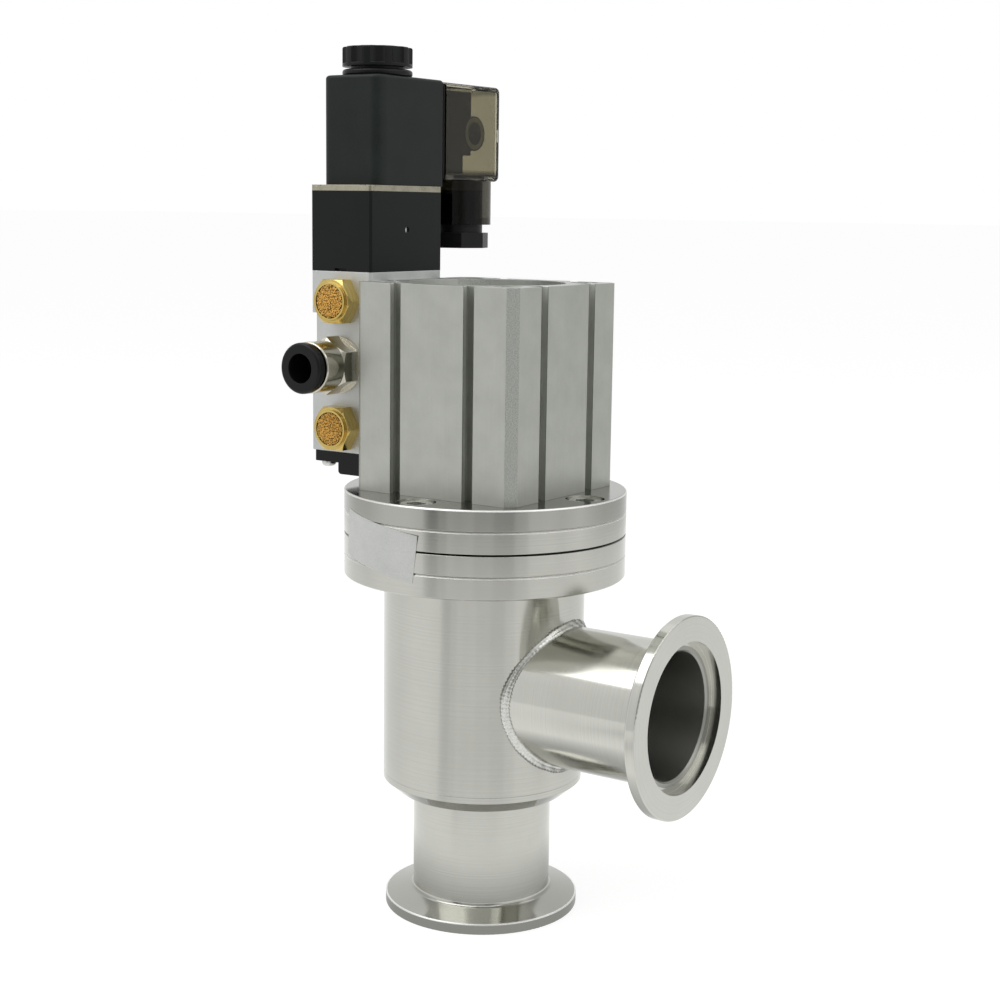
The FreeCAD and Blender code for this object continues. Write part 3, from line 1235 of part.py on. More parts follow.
def terminal_block():
    """Black insert that the coil's pins plug into, shallower at its foot, with a round barrel at its back."""
    inset = CONN_WALL + INSERT_GAP
    x0, x1 = BLOCK_MID_X - CONN_X / 2 + inset, BLOCK_MID_X + CONN_X / 2 - inset
    low, high = CONN_Z + inset, CONN_TOP_Z - inset
    step = low + INSERT_FOOT_H
    barrel_y = INSERT_REAR_Y + INSERT_BOSS_Y
    body = block(x0, x1, CONN_FRONT_Y, INSERT_REAR_Y, step, high)
    body = body.fuse(block(x0, x1, CONN_FRONT_Y, CONN_FRONT_Y + INSERT_FOOT_Y, low, step))
    barrel = rod(INSERT_BOSS_D / 2, Vector(x0, barrel_y, CONN_MID_Z), Vector(x1, barrel_y, CONN_MID_Z))
    body = body.fuse(barrel).removeSplitter().cut(coil_pins())
    tower_r = CONN_HEAD_D / 2 + CONN_TOWER_WALL
    body = body.cut(connector_axis(tower_r, INSERT_REAR_Y, CONN_REAR_Y))
    return body.cut(connector_axis(CONN_SCREW_D / 2 + LOOSE_GAP, CONN_FRONT_Y - 1, CONN_REAR_Y))


def connector_screw():
    """Screw through the connector into the coil, its head sunk in the back."""
    crown = CONN_SCREW_SEAT_Y + CONN_HEAD_H
    head = connector_axis(CONN_HEAD_D / 2, CONN_SCREW_SEAT_Y, crown)
    half = CROSS_W / 2
    slot = block(BLOCK_MID_X - CONN_HEAD_D, BLOCK_MID_X + CONN_HEAD_D, crown - CONN_HEAD_H / 2, crown + 1,
                 CONN_MID_Z - half, CONN_MID_Z + half)
    shank = connector_axis(CONN_SCREW_D / 2, COIL_REAR_Y - CONN_SCREW_BITE, CONN_SCREW_SEAT_Y)
    return head.cut(slot).fuse(shank).removeSplitter()


def gland_nut():
    """Black gland nut under the sleeve: a threaded tail, a round neck and an eight-sided rim."""
    x, y = BLOCK_MID_X, SLEEVE_Y
    low = SLEEVE_Z - GLAND_H
    rim = prism(GLAND_FLATS, GLAND_AF, low, SLEEVE_Z - GLAND_NECK_H, x, y)
    nut = rim.fuse(upright(GLAND_NECK_D / 2, SLEEVE_Z - GLAND_NECK_H, SLEEVE_Z + GLAND_TAIL, x, y)).removeSplitter()
    return nut.cut(upright(GLAND_HOLE / 2, low - 1, SLEEVE_Z + GLAND_TAIL + 1, x, y))


def gland_grommet():
    """Rubber grommet inside the sleeve, with the cable's hole."""
    low = SLEEVE_Z + GLAND_TAIL
    return pipe(SLEEVE_BORE_R - SEAL_GAP, CABLE_HOLE / 2, low, low + GROMMET_H, BLOCK_MID_X, SLEEVE_Y)


def silencer_body(z):
    """Brass silencer: threaded stem, hexagon and a rim round the sintered disc."""
    front = SILENCER_HEX_T + SILENCER_RIM_T
    disc_r = SILENCER_DISC_D / 2
    body = bevelled_hex(SILENCER_AF, 0, SILENCER_HEX_T)
    body = body.fuse(upright(disc_r + SILENCER_RIM_W, SILENCER_HEX_T, front))
    body = body.fuse(upright(PORT_THREAD_D / 2, -SILENCER_STEM, 0)).removeSplitter()
    body = body.cut(upright(SILENCER_BORE / 2, -SILENCER_STEM - 1, front + 1))
    return laid_in_port(body.cut(upright(disc_r, front - SILENCER_DISC_T, front + 1)), z)


def silencer_discs():
    """Sintered bronze discs, slightly domed."""
    front = SILENCER_HEX_T + SILENCER_RIM_T
    radius = SILENCER_DISC_D / 2
    dome = SILENCER_DISC_T * DISC_DOME_SHARE
    disc = turned([
        (0, front - SILENCER_DISC_T), (radius, front - SILENCER_DISC_T), (radius, front - dome),
        (radius * DISC_FLAT_SHARE, front), (0, front + dome),
    ])
    return [laid_in_port(disc, z) for z in (PORT_Z[0], PORT_Z[2])]


def fitting_body():
    """Nickel-plated push-in fitting for an 8 mm air tube."""
    hex_top = FIT_BASE_T + FIT_HEX_T
    barrel = upright(FIT_BODY_D / 2, hex_top, FIT_BODY_END)
    barrel = barrel.makeFillet(FIT_BODY_EDGE, level_edges(barrel, FIT_BODY_END))
    body = upright(FIT_BASE_D / 2, 0, FIT_BASE_T).fuse([
        bevelled_hex(FIT_AF, FIT_BASE_T, hex_top, HEX_TURN), barrel, upright(PORT_THREAD_D / 2, -SILENCER_STEM, 0),
    ]).removeSplitter()
    body = body.cut([
        upright(FIT_TUBE_D / 2 - FIT_STOP, -SILENCER_STEM - 1, FIT_SEAT + 1),
        upright(FIT_TUBE_D / 2, FIT_SEAT, FIT_BODY_END + 1),
        upright(FIT_SLEEVE_R, FIT_SEAL_AT, FIT_BODY_END + 1),
    ])
    return laid_in_port(body, PORT_Z[1])


def fitting_seal():
    """Rubber ring that seals on the air tube."""
    ring = o_ring(FIT_SLEEVE_R - FIT_SEAL_D / 2, FIT_SEAL_D, FIT_SEAL_AT + FIT_SEAL_D / 2)
    return laid_in_port(ring, PORT_Z[1])


def release_collar():
    """Black collar that is pressed in to free the air tube."""
    low = FIT_BODY_END + COLLAR_TRAVEL + COLLAR_GAP
    flange = upright(COLLAR_D / 2, low, low + COLLAR_T)
    flange = flange.makeFillet(COLLAR_T * COLLAR_ROUND_SHARE, level_edges(flange, low + COLLAR_T))
    sleeve = upright(FIT_SLEEVE_R - SLIDE_GAP, COLLAR_SLEEVE_END, low)
    collar = flange.fuse(sleeve).removeSplitter()
    collar = collar.cut(upright(FIT_TUBE_D / 2, COLLAR_SLEEVE_END - 1, low + COLLAR_T + 1))
    return laid_in_port(collar, PORT_Z[1])


def seal_label():
    """Blank paper label bent round the flanges, across their joint."""
    skin = pipe(FLANGE_R + LABEL_T, FLANGE_R, JOINT_Z - FLANGE_T, BONNET_Z)
    window = block(0, FLANGE_R + 1, -LABEL_W / 2, LABEL_W / 2, -LABEL_H / 2, LABEL_H / 2)
    window.rotate(Vector(0, 0, 0), Vector(1, 0, 0), -LABEL_TILT)
    window.rotate(Vector(0, 0, 0), UP, LABEL_ANGLE)
    window.translate(Vector(0, 0, JOINT_Z - LABEL_DROP))
    return skin.common(window)


def sub_parts():
    """Every node's name and its solids."""
    return {
        "valve_body": valve_body(),
        "body_foot": body_foot(),
        "inlet_stub": inlet_stub(),
        "outlet_stub": outlet_stub(),
        "outlet_weld": outlet_weld(),
        "body_flange": body_flange(),
        "bonnet_flange": bonnet_flange(),
        "rod_guide": rod_guide(),
        "flange_screws": flange_screws(),
        "flange_seal": flange_seal(),
        "rod_bush": rod_bush(),
        "rod_seal": rod_seal(),
        "bellows_ring": bellows_ring(),
        "bellows": bellows(),
        "stem": stem(),
        "valve_disc": valve_disc(),
        "disc_seal": disc_seal(),
        "disc_screw": disc_screw(),
        "piston": piston(),
        "piston_seal": piston_seal(),
        "piston_nut": piston_nut(),
        "cylinder_body": cylinder_body(),
        "cylinder_base_seal": cylinder_base_seal(),
        "cylinder_screws": cylinder_screws(),
        "end_cap": end_cap(),
        "end_cap_seal": end_cap_seal(),
        "retaining_ring": retaining_ring(),
        "valve_block": valve_block(),
        "port_seals": port_seals(),
        "mounting_screws": mounting_screws(),
        "slot_nuts": slot_nuts(),
        "spool": spool(),
        "spool_seals": spool_seals(),
        "spool_spring": spool_spring(),
        "pilot_piston": pilot_piston(),
        "spool_cover": spool_cover(),
        "cover_screws": cover_screws(),
        "pilot_body": pilot_body(),
        "override_pin": override_pin(),
        "pilot_plate": pilot_plate(),
        "plate_screws": plate_screws(),
        "core_tube": core_tube(),
        "plunger": plunger(),
        "plunger_spring": plunger_spring(),
        "coil": coil(),
        "coil_washer": coil_washer(),
        "coil_nut": coil_nut(),
        "connector_gasket": connector_gasket(),
        "connector_housing": connector_housing(),
        "terminal_block": terminal_block(),
        "connector_screw": connector_screw(),
        "gland_nut": gland_nut(),
        "gland_grommet": gland_grommet(),
        "upper_silencer": silencer_body(PORT_Z[2]),
        "lower_silencer": silencer_body(PORT_Z[0]),
        "silencer_discs": silencer_discs(),
        "fitting_body": fitting_body(),
        "fitting_seal": fitting_seal(),
        "release_collar": release_collar(),
        "seal_label": seal_label(),
    }


def main():
    """Write one STEP file for each node."""
    os.makedirs("parts", exist_ok=True)
    for name, shape in sub_parts().items():
        pieces = shape if isinstance(shape, list) else [shape]
        solids = [solid for piece in pieces for solid in piece.Solids]
        whole = solids[0] if len(solids) == 1 else Part.makeCompound(solids)
        print(name, len(solids), round(whole.Volume, 2), whole.isValid())
        whole.exportStep("parts/" + name + ".step")


main()
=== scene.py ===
"""Dresses the right-angle vacuum valve: its finishes, the pieces that need finer detail, and the studio."""
import math
import random
from functools import partial

import bpy
from mathutils import Matrix, Vector


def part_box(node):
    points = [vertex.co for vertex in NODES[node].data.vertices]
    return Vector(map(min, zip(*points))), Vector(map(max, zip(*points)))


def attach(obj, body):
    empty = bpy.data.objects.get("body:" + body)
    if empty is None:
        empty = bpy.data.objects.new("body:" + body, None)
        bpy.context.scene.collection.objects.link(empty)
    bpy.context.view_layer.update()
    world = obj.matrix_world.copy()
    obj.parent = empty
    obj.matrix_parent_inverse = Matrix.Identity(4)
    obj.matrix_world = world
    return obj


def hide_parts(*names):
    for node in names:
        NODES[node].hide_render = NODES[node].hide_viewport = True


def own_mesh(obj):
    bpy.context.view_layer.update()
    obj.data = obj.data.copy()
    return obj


bl_info = {
    "name": "Right-angle vacuum valve",
    "version": (1, 0, 0),
    "blender": (4, 5, 0),
    "location": "View3D > Sidebar > Angle valve",
    "description": "Dresses the packed valve with its finishes, its fine pieces and a studio",
    "category": "Object",
}

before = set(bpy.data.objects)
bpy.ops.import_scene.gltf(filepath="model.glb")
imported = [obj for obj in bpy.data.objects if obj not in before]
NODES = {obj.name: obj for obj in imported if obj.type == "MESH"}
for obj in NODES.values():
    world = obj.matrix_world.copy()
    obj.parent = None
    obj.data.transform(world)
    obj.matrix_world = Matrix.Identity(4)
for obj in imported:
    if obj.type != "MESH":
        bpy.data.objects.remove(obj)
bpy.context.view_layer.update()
MM = 0.001
UPRIGHT = (0, 0, 1)
ORIGIN = (0, 0, 0)

# Places and sizes that the pieces are built on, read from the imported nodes
WELD_LEG = 1.6 * MM
PORT_LOW, PORT_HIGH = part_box("outlet_stub")
PORT_AXIS = Vector((0, 0, (PORT_LOW.z + PORT_HIGH.z) / 2))
BODY_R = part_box("valve_body")[1].y
TUBE_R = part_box("outlet_weld")[1].y - WELD_LEG
FOOT_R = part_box("inlet_stub")[1].x
FLANGE_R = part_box("body_flange")[1].x
JOINT_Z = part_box("body_flange")[1].z
RIM_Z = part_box("bonnet_flange")[1].z
CYLINDER_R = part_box("cylinder_body")[1].x

# Marks of the lathe: the groove round each bolted flange, the flange's top edge, the foot flange's edge and
# taper measured downward; how near to a rim a cut edge carries a painted highlight, half the width of that
# highlight and of the painted shade in the gap between two flanges, the bore's lip, and the highlight's white
GROOVE_OFFSET = 6 * MM
GROOVES = (JOINT_Z - GROOVE_OFFSET, JOINT_Z + GROOVE_OFFSET)
TOP_EDGE = RIM_Z - 0.1 * MM
FOOT_EDGE = -2.7 * MM
FOOT_TAPER = -5.5 * MM
RIM_REACH = 1 * MM
HIGHLIGHT_HALF = 0.2 * MM
GAP_HALF = 0.3 * MM
BORE_LIP = 0.5 * MM
# White of the painted highlight on cut edges
PAINTED_HIGHLIGHT_WHITE = (1.0, 1.0, 0.98, 1.0)

# Share of its colour that metal keeps under painted shade: above a band, on its end face, in its bore and in
# a gap
BAND_SHADE = 0.86
END_FACE_SHADE = 0.6
BORE_SHADE = 0.64
GAP_SHADE = 0.15

# The photograph's view: where the camera stands, its axes and its lens
CAMERA_AT = Vector((0.27771, -0.40701, 0.19798))
CAMERA_AHEAD = Vector((-0.5494, 0.8197, -0.1621))
CAMERA_RIGHT = Vector((0.8294, 0.5585, 0.0130))
CAMERA_UP = Vector((-0.1012, 0.1273, 0.9867))
LENS = 64.19
SENSOR = 36.0

# Where the lamps stand from the part's middle, in metres: to the camera's right, ahead of it and up
PART_MIDDLE = Vector((0, 0, 0.1))
KEY_STAND = (-0.8, -0.35, 1.15)
FILL_STAND = (1.0, -0.7, 0.6)

# The white paper: its grey for the light that it sends up, and its seen white, part shaded and part steady
PAPER_GREY = 0.8
PAPER_SHADED = 0.34
PAPER_STEADY = 0.81

# The room round the part, which its metal mirrors: white with dark panels of crisp edges. Each pair is the
# direction in degrees, zero at the camera and counted to the right, and the grey that stands there
CARD_BANDS = (
    (-180, 0.9), (-150, 0.8), (-125, 0.62), (-105, 0.62), (-84, 0.8), (-62, 0.82), (-49, 0.7), (-46, 0.34),
    (-42, 0.14), (-37, 0.16), (-35, 0.34), (-30, 0.3), (-28, 0.46), (-20, 0.4), (-9, 0.46), (-7, 0.36),
    (6, 0.38), (8, 0.28), (22, 0.26), (24, 0.42), (33, 0.5), (35, 0.66), (52, 0.72), (62, 0.66), (80, 0.8),
    (96, 0.64), (108, 0.56), (135, 0.56), (150, 0.66), (180, 0.9),
)

# Each finish's two shades, darker and lighter
PAIRED_SHADES = (
    ("steel", "Turned steel", "the turned stainless steel", "#C4C4BD", "#CBCBC4"),
    # Painted light: the side port is the same steel as the rest, given lighter shades
    ("port", "Side port", "the side port's polished tube", "#CCCCC5", "#D3D3CC"),
    ("screw", "Screws", "the stainless screws", "#C8C8C2", "#EFEFEB"),
    ("zinc", "Zinc plate", "the pilot plate's cloudy zinc plating", "#A5A18E", "#BBB6A4"),
    ("anodised", "Anodised", "the extruded cylinder, in its streaks and on its faces", "#BABCB5", "#C5C7C0"),
    ("blasted", "Blasted", "the blasted valve block, in its pits and on its face", "#CACCCA", "#DADCDA"),
    ("aluminium", "Aluminium", "the turned aluminium", "#BEC0C1", "#D8DADB"),
    ("brass", "Brass", "the silencers' brass", "#C4A655", "#E8D28C"),
    # The bronze's dark shade is painted shade in the pores between its grains
    ("bronze", "Bronze", "the sintered bronze, in its pores and on its grains", "#57390F", "#F2C570"),
    ("nickel", "Nickel", "the air fitting's nickel plate", "#C3BFB1", "#D6D2C5"),
    ("black", "Black plastic", "the moulded black parts", "#0A0B0C", "#121315"),
    ("coil", "Coil resin", "the coil's moulded resin", "#0E1412", "#19221F"),
    ("pilot", "Pilot body", "the pilot housing", "#0D1010", "#151A19"),
    ("rubber", "Rubber", "the rubber rings", "#0C0D0D", "#141515"),
    ("film", "Label", "the label's film", "#D2D4D0", "#E0E1DE"),
)
SINGLE_SHADES = (
    ("corner", "Cylinder corner", "Grainy corners of the cylinder", "#A4A6A1"),
    ("slot", "Cylinder slots", "Inside of the cylinder's slots, where light is caught", "#E2E4DF"),
    ("faced_top", "Cylinder top", "Faced top of the cylinder", "#C4C6C2"),
    ("smoke", "Smoky plastic", "Tint of the connector's case", "#B0AC99"),
    # Painted highlight: the paler rim on the connector's screw socket
    ("socket_ring", "Socket ring", "Paler rim of the connector's screw socket", "#8A887C"),
    # Partly wear and partly painted highlight: the paler tone on black parts' edges
    ("dull_plastic", "Plastic's worn edge", "Where a black part's edges are rubbed", "#2C2F30"),
)

# Sockets of a Mix node: its two colours and its result, and the same for vectors
FIRST, SECOND, MIXED = 6, 7, 2
FIRST_VECTOR, SECOND_VECTOR, MIXED_VECTOR = 4, 5, 1


def linear(code):
    """Linear colour from an sRGB hex value."""
    parts = [int(code[k:k + 2], 16) / 255 for k in (1, 3, 5)]
    return [c / 12.92 if c <= 0.04045 else ((c + 0.055) / 1.055) ** 2.4 for c in parts] + [1.0]


def deeper(colour, share):
    """A colour brought down to a share of its light."""
    return [c * share for c in colour[:3]] + [1.0]


def feed(node, sockets):
    """Give a node's inputs their values or links."""
    for key, value in sockets.items():
        if isinstance(value, bpy.types.NodeSocket):
            node.id_data.links.new(value, node.inputs[key])
        else:
            node.inputs[key].default_value = value


def add_node(tree, kind, sockets, **settings):
    """Add one shader node with its settings and inputs, and give its outputs."""
    node = tree.nodes.new("ShaderNode" + kind)
    for key, value in settings.items():
        setattr(node, key, value)
    feed(node, sockets)
    return node.outputs


def blend(put, share, colour, other):
    """A colour with a share of another laid over it."""
    return put("Mix", {"Factor": share, FIRST: colour, SECOND: other}, data_type="RGBA")[MIXED]


def ranged(put, value, span=(0.0, 1.0), to=(0.0, 1.0)):
    """A value taken from one span to another and held at its ends."""
    return put("MapRange", {
        "Value": value, "From Min": span[0], "From Max": span[1], "To Min": to[0], "To Max": to[1],
    })[0]


def reckon(put, operation, *values):
    """One step of arithmetic between numbers."""
    return put("Math", dict(enumerate(values)), operation=operation)[0]


def reckon_vectors(put, operation, *values):
    """One step of arithmetic between vectors, which gives a number or a vector."""
    outputs = put("VectorMath", dict(enumerate(values)), operation=operation)
    return outputs["Value"] if operation in ("DOT_PRODUCT", "LENGTH") else outputs[0]


def shades(finish):
    """A finish's darker and lighter shade, as they are set."""
    colours = bpy.context.scene.valve_finishes
    return getattr(colours, finish + "_dark"), getattr(colours, finish + "_light")


def new_finish(name):
    """An empty finish: its material, what puts nodes into it, its shader and its place on the part."""
    material = bpy.data.materials.new(name)
    material.use_nodes = True
    put = partial(add_node, material.node_tree)
    return material, put, material.node_tree.nodes["Principled BSDF"], put("TexCoord", {})["Object"]


def edge_wear_and_highlight_mask(put, soft):
    """Mask of the outer edges, where the rounded normal leaves the true one."""
    true = put("NewGeometry", {})["Normal"]
    turn = reckon_vectors(put, "DOT_PRODUCT", soft, true)
    return ranged(put, turn, (0.99, 0.85))


def turned_steel(name, colours, axis, centre, roughness=(0.12, 0.16), pitch=0.4 * MM, stretch=0.8, band=None,
                 bore=0.0, highlight_lines=(), rim=0.0, joint=None):
    """304 stainless, turned on a lathe: rings round the axis stretch every highlight along it.

    The real feed marks are about 0.1 mm apart and are drawn at 0.4 mm, so that they just show, over clouds of
    14 mm. Above a height given as band, where the metal mirrors darker, its colour carries painted shade, and
    its end face more. Inside the radius bore it is left rough from boring and carries painted shade. Just
    below the heights in lines its edges carry a painted highlight outside the radius rim, and at the height
    joint the gap between two flanges carries painted shade.
    """
    material, put, shader, place = new_finish(name)
    off = reckon_vectors(put, "SUBTRACT", place, centre)
    around = reckon_vectors(put, "CROSS_PRODUCT", axis, off)
    radius = reckon_vectors(put, "LENGTH", around)
    along = reckon_vectors(put, "DOT_PRODUCT", axis, off)
    walk = reckon(put, "ADD", radius, along)
    normal = put("NewGeometry", {})["Normal"]
    feeds = put("TexNoise", {"W": walk, "Scale": 1 / pitch, "Detail": 3.0}, noise_dimensions="1D")[0]
    cloud = put("TexNoise", {"Vector": place, "Scale": 1 / (14.286 * MM), "Detail": 5.0, "Roughness": 0.6})[0]
    both = reckon(put, "MULTIPLY", feeds, cloud)
    shade = ranged(put, both, (0.12, 0.4))
    dark, light = colours
    colour = blend(put, shade, dark, light)
    if band:
        over = reckon(put, "GREATER_THAN", along, band)
        facing = reckon_vectors(put, "DOT_PRODUCT", normal, axis)
        is_end = reckon(put, "GREATER_THAN", facing, 0.9)
        # Painted shade: darker above the band, darker still on the end face
        for where, share in ((over, BAND_SHADE), (is_end, END_FACE_SHADE)):
            colour = blend(put, where, colour, deeper(dark, share))
    rough = ranged(put, feeds, (0.3, 0.7), roughness)
    if bore:
        within = reckon(put, "LESS_THAN", radius, bore)
        rough = reckon(put, "MULTIPLY_ADD", within, 0.2, rough)
        # Painted shade in the bore
        bore_shade_colour = deeper(dark, BORE_SHADE)
        colour = blend(put, within, colour, bore_shade_colour)
    if joint:
        # Painted shade in the gap between the two flanges
        gap = reckon(put, "COMPARE", along, joint, GAP_HALF)
        black = deeper(dark, GAP_SHADE)
        colour = blend(put, gap, colour, black)
    soft = put("Bevel", {"Radius": 0.2 * MM}, samples=6)[0]
    relief = put("Bump", {"Height": feeds, "Distance": 0.00035 * MM, "Normal": soft})[0]
    # Painted highlight: white, rougher lines with the true normal just below each given height, outside the
    # radius rim
    if highlight_lines:
        painted_highlight = 0.0
        for line in highlight_lines:
            near = reckon(put, "COMPARE", along, line - HIGHLIGHT_HALF, HIGHLIGHT_HALF)
            painted_highlight = reckon(put, "MAXIMUM", near, painted_highlight)
        outside = reckon(put, "GREATER_THAN", radius, rim)
        painted_highlight = reckon(put, "MULTIPLY", painted_highlight, outside)
        colour = blend(put, painted_highlight, colour, PAINTED_HIGHLIGHT_WHITE)
        rough = reckon(put, "MULTIPLY_ADD", painted_highlight, 0.3, rough)
        relief = put("Mix", {
            "Factor": painted_highlight, FIRST_VECTOR: relief, SECOND_VECTOR: normal,
        }, data_type="VECTOR")[MIXED_VECTOR]
    lay = reckon_vectors(put, "CROSS_PRODUCT", normal, around)
    feed(shader, {
        "Base Color": colour, "Metallic": 1.0, "Roughness": rough, "Anisotropic": stretch, "Tangent": lay,
        "Normal": relief,
    })
    return material


def grained(name, colours, metallic, roughness, grain, depth, edge_wear_and_highlight=None, edge_width=0.25 * MM,
            cloud=8 * MM, gleam=0.5):
    """A finish with an even grain over slow clouds; its rounded edges may take wear and painted highlight."""
    material, put, shader, place = new_finish(name)
    fine = put("TexNoise", {"Vector": place, "Scale": 1 / grain, "Detail": 3.0})[0]
    slow = put("TexNoise", {"Vector": place, "Scale": 1 / cloud, "Detail": 4.0})[0]
    both = reckon(put, "ADD", fine, slow)
    shade = ranged(put, both, (0.7, 1.3))
    rough = ranged(put, both, (0.7, 1.3), roughness)
    soft = put("Bevel", {"Radius": edge_width}, samples=6)[0]
    dark, light = colours
    colour = blend(put, shade, dark, light)
    # Edges tinted with the given tone: rubbed wear, and where the tone is paler a painted highlight
    if edge_wear_and_highlight:
        worn_and_lit = reckon(put, "MULTIPLY", edge_wear_and_highlight_mask(put, soft), fine)
        colour = blend(put, worn_and_lit, colour, edge_wear_and_highlight)
    bump = put("Bump", {"Height": fine, "Distance": depth, "Normal": soft})[0]
    feed(shader, {
        "Base Color": colour, "Metallic": metallic, "Roughness": rough, "Normal": bump,
        "Specular IOR Level": gleam,
    })
    return material


def extruded_anodised(colours, corner, top, slot):
    """6063 aluminium, extruded and satin anodised: a soft grey with streaks along the die.

    The streaks are 0.4 mm wide and 22 mm long, and the clouds 8 mm. The sanded corners are grainy, drawn at a
    grit of 0.26 mm so that it shows, the sawn top is faced flat, and the slots catch light.
    """
    material, put, shader, place = new_finish("satin_anodised_extrusion")
    streaks = (1 / (0.3846 * MM), 1 / (0.3846 * MM), 1 / (22.222 * MM))
    slot_middle, slot_half = CYLINDER_R - 1.5 * MM, 1.2 * MM
    drawn = put("Mapping", {"Vector": place, "Scale": streaks})[0]
    streak = put("TexNoise", {"Vector": drawn, "Scale": 1.0, "Detail": 3.0})[0]
    grit = put("TexNoise", {"Vector": place, "Scale": 1 / (0.263158 * MM), "Detail": 2.0})[0]
    cloud = put("TexNoise", {"Vector": place, "Scale": 1 / (8.3333 * MM), "Detail": 5.0, "Roughness": 0.6})[0]
    shade = reckon(put, "MULTIPLY_ADD", streak, 0.25, cloud)
    shade = ranged(put, shade, (0.4, 0.85))
    speckle = ranged(put, grit, (0.35, 0.65))
    dark, light = colours
    sanded = blend(put, speckle, corner, light)
    facing = put("SeparateXYZ", {"Vector": put("NewGeometry", {})["Normal"]})
    diagonal = reckon(put, "MULTIPLY", facing[0], facing[1])
    diagonal = reckon(put, "ABSOLUTE", diagonal)
    is_corner = reckon(put, "GREATER_THAN", diagonal, 0.45)
    is_top = reckon(put, "GREATER_THAN", facing[2], 0.9)
    inside = reckon_vectors(put, "ABSOLUTE", place)
    inside = put("SeparateXYZ", {"Vector": inside})
    reach = reckon(put, "MAXIMUM", inside[0], inside[1])
    is_slot = reckon(put, "COMPARE", reach, slot_middle, slot_half)
    flat = reckon(put, "SUBTRACT", 1.0, is_corner)
    is_slot = reckon(put, "MULTIPLY", is_slot, flat)
    colour = blend(put, shade, dark, light)
    for where, tone in ((is_corner, sanded), (is_slot, slot), (is_top, top)):
        colour = blend(put, where, colour, tone)
    rough = ranged(put, grit, to=(0.4, 0.52))
    rough = reckon(put, "MULTIPLY_ADD", is_corner, 0.12, rough)
    soft = put("Bevel", {"Radius": 0.2 * MM}, samples=6)[0]
    relief = reckon(put, "MULTIPLY_ADD", streak, 0.3, grit)
    bump = put("Bump", {"Height": relief, "Distance": 0.008 * MM, "Normal": soft})[0]
    feed(shader, {"Base Color": colour, "Metallic": 1.0, "Roughness": rough, "Normal": bump})
    return material


def smoky_polycarbonate(colour, haze, floor):
    """Smoke-tinted polycarbonate, injection moulded: clear and glossy, with faint flow marks of 11 mm.

    Its IOR is drawn below the real 1.585, so that the white room doesn't veil what is inside. The cable
    sleeve below the case's floor is nearly black, and the level walls, which are looked through along their
    width, are deeper in tint.
    """
    sleeve_share, level_share = 0.16, 0.4
    fade_low, fade_high = floor + 1.4 * MM, floor + 3.4 * MM
    material, put, shader, place = new_finish("smoky_polycarbonate")
    flow = put("TexNoise", {"Vector": place, "Scale": 1 / (11.111 * MM), "Detail": 3.0, "Distortion": 1.5})[0]
    rough = ranged(put, flow, to=(0.02, haze))
    height = put("SeparateXYZ", {"Vector": place})[2]
    thin = ranged(put, height, (fade_low, fade_high))
    sleeve = deeper(colour, sleeve_share)
    shade = blend(put, thin, sleeve, colour)
    facing = put("SeparateXYZ", {"Vector": put("NewGeometry", {})["Normal"]})[2]
    level = reckon(put, "ABSOLUTE", facing)
    level = ranged(put, level, (0.3, 0.9))
    shade = blend(put, level, shade, deeper(colour, level_share))
    bump = put("Bump", {"Height": flow, "Distance": 0.03 * MM, "Strength": 0.5})[0]
    feed(shader, {
        "Base Color": shade, "Roughness": rough, "IOR": 1.3, "Transmission Weight": 1.0, "Normal": bump,
    })
    return material


def coat(material, *names):
    """Give CAD nodes one finish."""
    for name in names:
        for slot in NODES[name].material_slots:
            slot.material = material


def clear_selection():
    """Leave nothing selected, so that an operator acts on the new piece alone."""
    for piece in bpy.context.selected_objects:
        piece.select_set(False)


def settle(name, body, slot, material, *replaced):
    """Finish the active object as a piece: its place goes into its mesh, and it rides on its body."""
    bpy.ops.object.transform_apply(location=True, rotation=True, scale=True)
    piece = bpy.context.active_object
    piece.name = name
    piece.data.name = name
    piece.data.materials.clear()
    piece.data.materials.append(material)
    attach(piece, body)
    if replaced:
        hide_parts(*replaced)
    return piece


def apply_modifier(piece, kind, **settings):
    """Add a modifier to a piece and apply it."""
    modifier = piece.modifiers.new(kind.title(), kind)
    for key, value in settings.items():
        setattr(modifier, key, value)
    bpy.ops.object.modifier_apply(modifier=modifier.name)


def face_outward(fill=False):
    """Turn the active piece's faces outward, its open ends closed first if asked."""
    bpy.ops.object.mode_set(mode="EDIT")
    bpy.ops.mesh.select_all(action="SELECT")
    if fill:
        bpy.ops.mesh.fill_holes(sides=0)
    bpy.ops.mesh.normals_make_consistent(inside=False)
    bpy.ops.object.mode_set(mode="OBJECT")


def ring_card_shade(put):
    """Grey of the card round the part by the direction it stands in, dark where the room is dark."""
    place = put("TexCoord", {})["Object"]
    ahead = CAMERA_AHEAD.copy()
    ahead.z = 0
    ahead.normalize()
    aside = Vector((-ahead.y, ahead.x, 0))
    toward = reckon_vectors(put, "MULTIPLY", place, (1, 1, 0))
    toward = reckon_vectors(put, "NORMALIZE", toward)
    facing = reckon_vectors(put, "DOT_PRODUCT", toward, -ahead)
    beside = reckon_vectors(put, "DOT_PRODUCT", toward, -aside)
    angle = reckon(put, "ARCTAN2", beside, facing)
    share = ranged(put, angle, (-math.pi, math.pi))
    grey = put("ValToRGB", {"Fac": share})[0]
    elements = grey.node.color_ramp.elements
    while len(elements) < len(CARD_BANDS):
        elements.new(0.5)
    for element, (degrees, level) in zip(elements, CARD_BANDS):
        element.position = 0.5 + degrees / 360
        element.color = (level, level, level, 1.0)
    return grey


def length_property(name, description, default, **limits):
    """A length that the user may change."""
    return bpy.props.FloatProperty(
        name=name, description=description, default=default, subtype="DISTANCE", unit="LENGTH", precision=5,
        **limits,
    )


